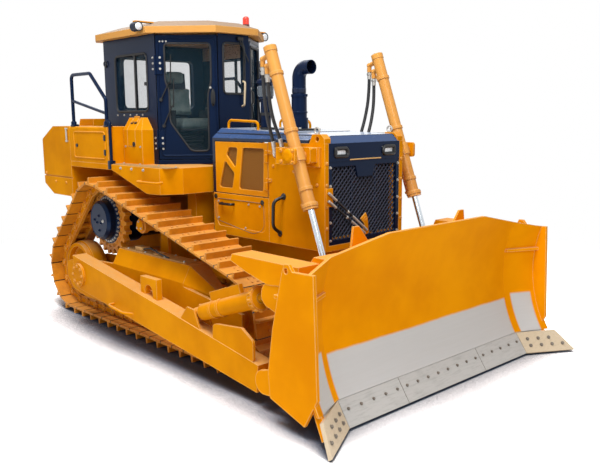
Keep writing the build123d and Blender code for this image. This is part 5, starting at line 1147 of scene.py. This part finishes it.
Form().plate(brow, (-0.012, 0, -0.006)).done("hoodBrow", "hood")
print("hood trimmed")


# guard sides, lower covers, fenders, tank and boxes
panels = {
    "guard": 0.55, "fender": 1.10, "deckTop": 1.90, "tank": 1.10, "box": 0.90,
    "coverLine": ((0.05, 1.565), (0.86, 1.565), (0.86, 1.30), (0.70, 1.235), (0.05, 1.33)),
    "lockerPanel": ((-2.12, 2.265), (-1.33, 2.265), (-1.33, 1.955), (-2.12, 1.955)),
    "strips": ((-1.22, -0.84), (-0.82, -0.45), (-0.43, -0.07)), "stripY": (0.93, 1.075),
    "railFeet": (-2.1505, -1.3105), "railTop": 2.33, "railY": 1.075, "postX": -1.245,
    "bolts": (  # finish, node, side face, size, places as x and z
        ("yellow", "radiator_guard", 0.55, 0.026, ((1.02, 1.95), (1.64, 1.80))),
        ("zinc", "lower_covers", 0.55, 0.018,
         ((0.10, 1.535), (0.62, 1.535), (0.10, 1.355), (0.56, 1.285), (0.80, 1.53))),
        ("zinc", "fenders", 1.10, 0.026, ((-0.99, 1.868), (-0.75, 1.868), (-0.50, 1.868))),
        ("yellow", "fuel_tank", 1.10, 0.028, ((-2.98, 1.72), (-2.70, 1.62), (-2.40, 1.62))),
        ("zinc", "step_boxes", 0.90, 0.020, ((-1.21, 2.10), (-0.88, 2.10))),
    ),
}


def standOff(side, face, ends, middle, reach, radius, bend, sunk=0.006, count=12):
    # a bar that stands off a side face; ends and middle are x and z
    foot, off = face - side * sunk, face + side * reach
    route = [(ends[0][0], foot, ends[0][1]), *[(x, off, z) for x, z in middle], (ends[1][0], foot, ends[1][1])]
    return Form().pipe(eased(route, bend, False), radius, count)


for name, side in sides:
    out = (0, side, 0)
    for finish, node, face, size, places in panels["bolts"]:
        for x, z in places:
            bolt(finish, node, (x, side * face, z), out, size)
    y = side * panels["guard"]
    face = landing("radiator_guard", (1.17, y, 1.66), out).y
    grab = standOff(side, face, ((1.17, 1.66), (1.11, 1.29)), ((1.13, 1.62), (1.12, 1.36)), 0.10, 0.017, 0.05, 0.01)
    for x, z in ((1.17, 1.66), (1.11, 1.29)):
        grab.rod((x, face - side * 0.004, z), (x, face + side * 0.010, z), 0.032)
    grab.done(name + "GuardGrab", "black")
    Form().block((1.06, y - side * 0.004, 2.02), (1.25, y + side * 0.012, 2.06)).done(name + "HosePlate", "yellow")
    face = landing("lower_covers", (0.27, y, 1.515), out).y
    ends = ((0.17, 1.515), (0.37, 1.518))
    bar = standOff(side, face, ends, ends, 0.045, 0.014, 0.02, count=10)
    for x, z in ((0.843, 1.573), (0.06, 1.585)):
        bar.turned([(0.026, -0.002), (0.026, 0.010), (0.016, 0.016)], (x, face, z), out, 16)
    bar.done(name + "CoverHandle", "black")
    outline = eased([(x, y, z) for x, z in panels["coverLine"]], 0.07)
    line = Form().pipe([landing("lower_covers", p, out) for p in outline], 0.0026, 6, True)
    line.done(name + "CoverLine", "iron")
    face = landing("fenders", (-0.32, side * panels["fender"], 1.76), out).y
    step = standOff(side, face, ((-0.56, 1.745), (-0.14, 1.75)), ((-0.56, 1.74), (-0.14, 1.745)), 0.06, 0.013, 0.03)
    step.done(name + "FenderGrab", "yellow")
    strip, top = Form(), panels["deckTop"]
    inner, outer = [side * w for w in panels["stripY"]]
    for start, end in panels["strips"]:
        strip.block((start, inner, top - 0.002), (end, outer, top + 0.006), 0.002)
    strip.done(name + "GripStrip", "grip")
    for x in (-1.19, -0.83, -0.44, -0.10):
        stud("zinc", (x, side * 0.945, top + 0.006), skyward, 0.02)
    feet, y, top = Form(), side * panels["railY"], panels["railTop"]
    for x in panels["railFeet"]:
        feet.block((x - 0.05, side * 1.03, top - 0.002), (x + 0.05, side * 1.098, top + 0.020), 0.005)
        feet.turned([(0.034, 0.018), (0.034, 0.05), (0.026, 0.062)], (x, y, top), skyward, 16)
        for w in (-0.038, 0.038):
            stud("zinc", (x + w, side * 1.045, top + 0.020), skyward, 0.018)
    x = panels["postX"]
    post = [(panels["railFeet"][1], y, top + 0.07), (x, y, top + 0.05), (x, y, panels["deckTop"])]
    feet.pipe(eased(post, 0.04, False), 0.019, 12)
    feet.block((x - 0.035, side * 1.04, 1.84), (x + 0.035, side * 1.108, 1.94), 0.006)
    feet.done(name + "RailFeet", "navy")
    y = side * panels["tank"]
    face = landing("lockers", (-1.70, y, 2.10), out).y
    frameLoop([(x, face, z) for x, z in panels["lockerPanel"]], name + "PanelFrame", 0.009, 0.04, "yellow")
    hinge = Form()
    for z in (2.20, 2.03):
        hinge.rod((-1.325, face + side * 0.006, z - 0.035), (-1.325, face + side * 0.006, z + 0.035), 0.011)
        hinge.block((-1.365, face - side * 0.002, z - 0.03), (-1.325, face + side * 0.006, z + 0.03), 0.002)
    hinge.rod((-2.04, face - side * 0.004, 2.10), (-2.04, face + side * 0.014, 2.10), 0.022)
    hinge.done(name + "PanelHinges", "black")
    face = landing("fuel_tank", (-2.30, y, 2.22), out).y
    gauge = Form().rod((-2.30, face + side * 0.014, 2.145), (-2.30, face + side * 0.014, 2.30), 0.011)
    for z in (2.135, 2.29):
        gauge.block((-2.318, face - side * 0.003, z), (-2.282, face + side * 0.026, z + 0.022))
    gauge.done(name + "LevelGauge", "zinc")
    lid, slots = f"{name}_box_lid", Form()
    for x in (-1.125, -1.045):
        spot = landing(lid, (x, side * 0.86, 2.40), (0, side * 0.4, 1))
        slots.block((x - 0.022, spot.y - 0.014, spot.z - 0.012), (x + 0.022, spot.y + 0.014, spot.z + 0.004), 0.003)
    spot = landing(lid, (-1.02, side * panels["box"], 2.13), out)
    slots.turned([(0.026, -0.003), (0.026, 0.008), (0.018, 0.014)], spot, out, 16)
    slots.done(name + "LidLock", "black", lid)
filler = Form().turned([(0.085, -0.004), (0.085, 0.03), (0.075, 0.036), (0.075, 0.06), (0.06, 0.075)],
                       landing("fuel_tank", (-2.42, 0.55, 2.36), skyward), skyward, 24)
filler.block((-2.45, 0.535, 2.40), (-2.39, 0.565, 2.425), 0.005)
filler.done("tankFiller", "black")
print("sides trimmed")


# nose and grille
nose = {
    "front": 1.7395, "lampY": 0.33, "lampZ": 2.095,
    "bezel": ((0.085, -0.036), (0.085, 0.038), (-0.060, 0.038), (-0.085, 0.0), (-0.070, -0.036)),
    "mesh": {"span": 1.25, "count": 34, "middle": (1.714, 0, 1.62)},
    "meshSizes": {"Half Width": 0.465, "Half Height": 0.355, "Wire": 0.0065},
    "bolts": (("zinc", "grille", 0.478, 0.022, (1.28, 1.45, 1.62, 1.79, 1.96)),
              ("yellow", "radiator_guard", 0.525, 0.026, (1.40, 1.60, 1.80, 2.00))),
    "bracket": ((-0.077, 1.452), (-0.004, 1.505), (0.024, 1.450), (0.040, 1.300), (-0.060, 1.275), (-0.020, 1.390)),
    "pipeX": 1.766, "pipes": (((-0.530, 1.735), (-0.003, 1.334)), ((-0.530, 1.660), (-0.034, 1.309))),
    "sleeves": ((0.0, 0.20, 0.0130), (0.47, 0.51, 0.0155), (0.60, 1.0, 0.0120)),  # start, end, radius
}
front = nose["front"]
for name, side in sides:
    y, z = side * nose["lampY"], nose["lampZ"]
    bezel = [(front + 0.002, y + side * u, z + w) for u, w in nose["bezel"]]
    frameLoop(bezel, name + "LampBezel", 0.019, 0.02, "black")
    for finish, node, y, size, heights in nose["bolts"]:
        for z in heights:
            bolt(finish, node, (front, side * y, z), forward, size)
Form().block((front - 0.004, -0.22, 2.018), (front + 0.006, 0.22, 2.030), 0.003).done("noseStep", "dusty")
grow("grilleMesh", [{"place": (0, 0, 0)}], makeMeshTree(nose["mesh"]), "mesh", "tractor", nose["meshSizes"])
clamps = Form().block((1.735, -0.545, 1.60), (1.752, -0.455, 1.775), 0.005)
clamps.plate([(1.737, y, z) for y, z in nose["bracket"]], (0.014, 0, 0), 0.003)
clamps.hoop((1.749, -0.012, 1.448), forward, 0.010, 0.020, 0.006, 16)
clamps.done("tiltPipeClamps", "yellow")
lines, ends = Form(), Form()
for start, end in nose["pipes"]:
    head, foot = Vector((nose["pipeX"], *start)), Vector((nose["pipeX"], *end))
    lines.rod(head, foot, 0.011)
    for low, high, radius in nose["sleeves"]:
        ends.rod(head.lerp(foot, low), head.lerp(foot, high), radius)
lines.done("tiltHoses", "rubber")
ends.done("tiltPipes", "zinc")
print("nose trimmed")


# lift yokes and cylinders, tilt cylinder, push arms
linkage = {
    "liftY": 0.74, "yoke": (1.5765, 2.077), "line": (0.3435, 0, -0.939), "bands": (-0.80, -0.25, 0.30), "gland": 0.455,
    "yokeBolts": ((0.05, 0.05), (0.05, -0.05), (-0.10, 0.05), (-0.10, -0.05)), "eye": (1.60, 0.51), "eyeRadius": 0.030,
    "armFace": 1.50, "trunnion": (-1.3405, 1.53, 0.64),
    "tiltBase": (0.8995, 0.60), "tiltPin": (2.0795, 1.0), "armY": 1.415, "tiltGland": 0.80, "tiltBands": (0.30, 0.42),
}
line = Vector(linkage["line"])
for name, side in sides:
    out = (0, side, 0)
    yoke = Vector((linkage["yoke"][0], side * linkage["liftY"], linkage["yoke"][1]))
    barrel = f"{name}_lift_barrel"
    face = landing("lift_yokes", yoke + Vector((0.05, side * 0.15, 0.05)), out).y
    boss = Form().turned([(0.066, -0.002), (0.066, 0.012), (0.054, 0.022), (0.030, 0.024)],
                         (yoke.x, face, yoke.z), out, 24)
    boss.done(name + "YokeBoss", "yellow")
    for u, w in linkage["yokeBolts"]:
        bolt("yellow", "lift_yokes", (yoke.x + u, face, yoke.z + w), out, 0.030)
    band = Form()
    for along in linkage["bands"]:
        band.hoop(yoke + line * along, line, 0.0576, 0.066, 0.032, 32)
    band.hoop(yoke + line * linkage["gland"], line, 0.0716, 0.077, 0.03, 32)
    top = yoke + line * linkage["bands"][0]
    band.block(top + Vector((-0.082, -0.018, -0.02)), top + Vector((-0.05, 0.018, 0.02)), 0.005)
    band.done(name + "LiftBands", "cylinder", barrel)
    boltRing("zinc", barrel, yoke - line * 1.04, -line, 0.042, 6, 0.016, barrel)
    x, y = linkage["eye"]
    foot, radius = landing("radiator_guard", (x, side * y, 2.30), skyward), linkage["eyeRadius"]
    eye = Form().pipe([foot + Vector((u, 0, radius + w)) for u, w in oval(radius, radius, 20)], 0.009, 8, True)
    eye.turned([(0.024, -0.003), (0.024, 0.008), (0.014, 0.014)], foot, skyward, 14)
    eye.done(name + "LiftEye", "zinc")
    face = landing(f"{name}_push_arm", (-0.36, side * linkage["armFace"], 0.42), out).y
    tread = standOff(side, face, ((-0.56, 0.44), (-0.16, 0.40)), ((-0.52, 0.45), (-0.20, 0.42)), 0.09, 0.014, 0.05)
    tread.done(name + "ArmStep", "yellow", f"{name}_arm")
    x, y, z = linkage["trunnion"]
    boltRing("yellow", "trunnion_caps", (x, side * y, z), out, 0.105, 8, 0.028, "trunnions")
side = -1 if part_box("tilt_barrel")[0][1] < 0 else 1
base, tip = [Vector((x, side * linkage["armY"], z)) for x, z in (linkage["tiltBase"], linkage["tiltPin"])]
tiltLine = (tip - base).normalized()
gland = base + (tip - base) * linkage["tiltGland"]
across = Vector((0, 1, 0))
ring = Form().hoop(gland - tiltLine * 0.05, tiltLine, 0.097, 0.108, 0.045, 36)
for u, w in oval(0.106, 0.106, 12):
    spot = gland + across * u + tiltLine.cross(across) * w
    ring.rod(spot - tiltLine * 0.048, spot - tiltLine * 0.008, 0.014, 8)
ring.done("tiltGlandRing", "yellow", "tilt_barrel")
for along in linkage["tiltBands"]:
    ring = Form().hoop(base + tiltLine * along, tiltLine, 0.0802, 0.088, 0.03, 32)
    ring.done(f"tiltBand{int(along * 100)}", "yellow", "tilt_barrel")
print("linkage trimmed")

for (finish, rider), row in boltRows.items():
    grow(f"bolts_{finish}_{rider}", row, boltTree, finish, rider)
print("bolts:", sum(len(row) for row in boltRows.values()))


# pale floor with a painted contact shadow, and soft studio light
studio = {
    "floorSize": 60.0, "near": 3.4, "far": 8.0, "floor": 0.8, "floorSeen": 2.3, "shadowReach": 2.2, "sky": 0.40,
    "lamps": (  # name, place, target, size, power
        ("keyLamp", (2.0, -3.6, 10.5), (0.3, 0, 1.2), 4.0, 1050.0),
        ("fillLamp", (9.0, -5.0, 7.5), (0.8, 0, 0.8), 4.5, 380.0),
        ("rimLamp", (-8.0, 2.0, 8.0), (0, 0, 1.5), 5.0, 160.0),
    ),
}


def seenRays(f):  # 1 for rays that the camera sees straight, in a mirror or through glass
    path = f.node("ShaderNodeLightPath").socket.node
    seen = Wire(path.outputs["Is Camera Ray"]) + Wire(path.outputs["Is Glossy Ray"])
    return f.node("ShaderNodeMath", {"operation": "MINIMUM"},
                  {0: seen + Wire(path.outputs["Is Transmission Ray"]), 1: 1.0})


def grey(level):
    return level, level, level, 1


def makeFloor():
    bm = bmesh.new()
    bmesh.ops.create_grid(bm, x_segments=2, y_segments=2, size=studio["floorSize"])
    data = bpy.data.meshes.new("floor")
    bm.to_mesh(data)
    bm.free()
    floor = addObject("floor", data)
    f = Finish("paleFloor")
    seen = seenRays(f)
    # painted shadow: for seen rays, ambient occlusion darkens the floor tone towards a dark blue near the machine
    near = f.node("ShaderNodeAmbientOcclusion", {"samples": 8}, {"Distance": studio["shadowReach"]}, output=1)
    shadowedTone = f.blend(f.step(near, 0.40, 1.0), (0.07, 0.085, 0.125, 1), grey(studio["floorSeen"]))
    tone = f.blend(seen, grey(studio["floor"]), shadowedTone)
    matte = f.node("ShaderNodeBsdfDiffuse", inputs={"Color": tone})
    glow = f.node("ShaderNodeEmission", inputs={"Color": grey(1), "Strength": 1.0})
    away = f.node("ShaderNodeVectorMath", {"operation": "LENGTH"}, {0: f.place()}, output=1)
    share = f.step(away, studio["near"], studio["far"])
    mixed = f.node("ShaderNodeMixShader", inputs={0: seen * share, 1: matte, 2: glow})
    f.node("ShaderNodeOutputMaterial", inputs={"Surface": mixed})
    data.materials.append(f.material)


def makeSky():
    world = bpy.data.worlds.new("studioSky")
    world.use_nodes = True
    f = Graph(world.node_tree)
    seen = seenRays(f)
    strength = seen + (1 - seen) * studio["sky"]
    sky = f.node("ShaderNodeBackground", inputs={"Color": grey(1), "Strength": strength})
    f.node("ShaderNodeOutputWorld", inputs={"Surface": sky})
    bpy.context.scene.world = world


def makeLamp(name, place, target, size, power):
    data = bpy.data.lights.new(name, "AREA")
    data.shape, data.size, data.energy = "DISK", size, power
    lamp = addObject(name, data)
    lamp.location = place
    lamp.rotation_mode = "QUATERNION"
    lamp.rotation_quaternion = (Vector(target) - Vector(place)).to_track_quat("-Z", "Y")


makeFloor()
makeSky()
for lamp in studio["lamps"]:
    makeLamp(*lamp)
bpy.context.scene.view_settings.view_transform = "Standard"
print("stage ready")
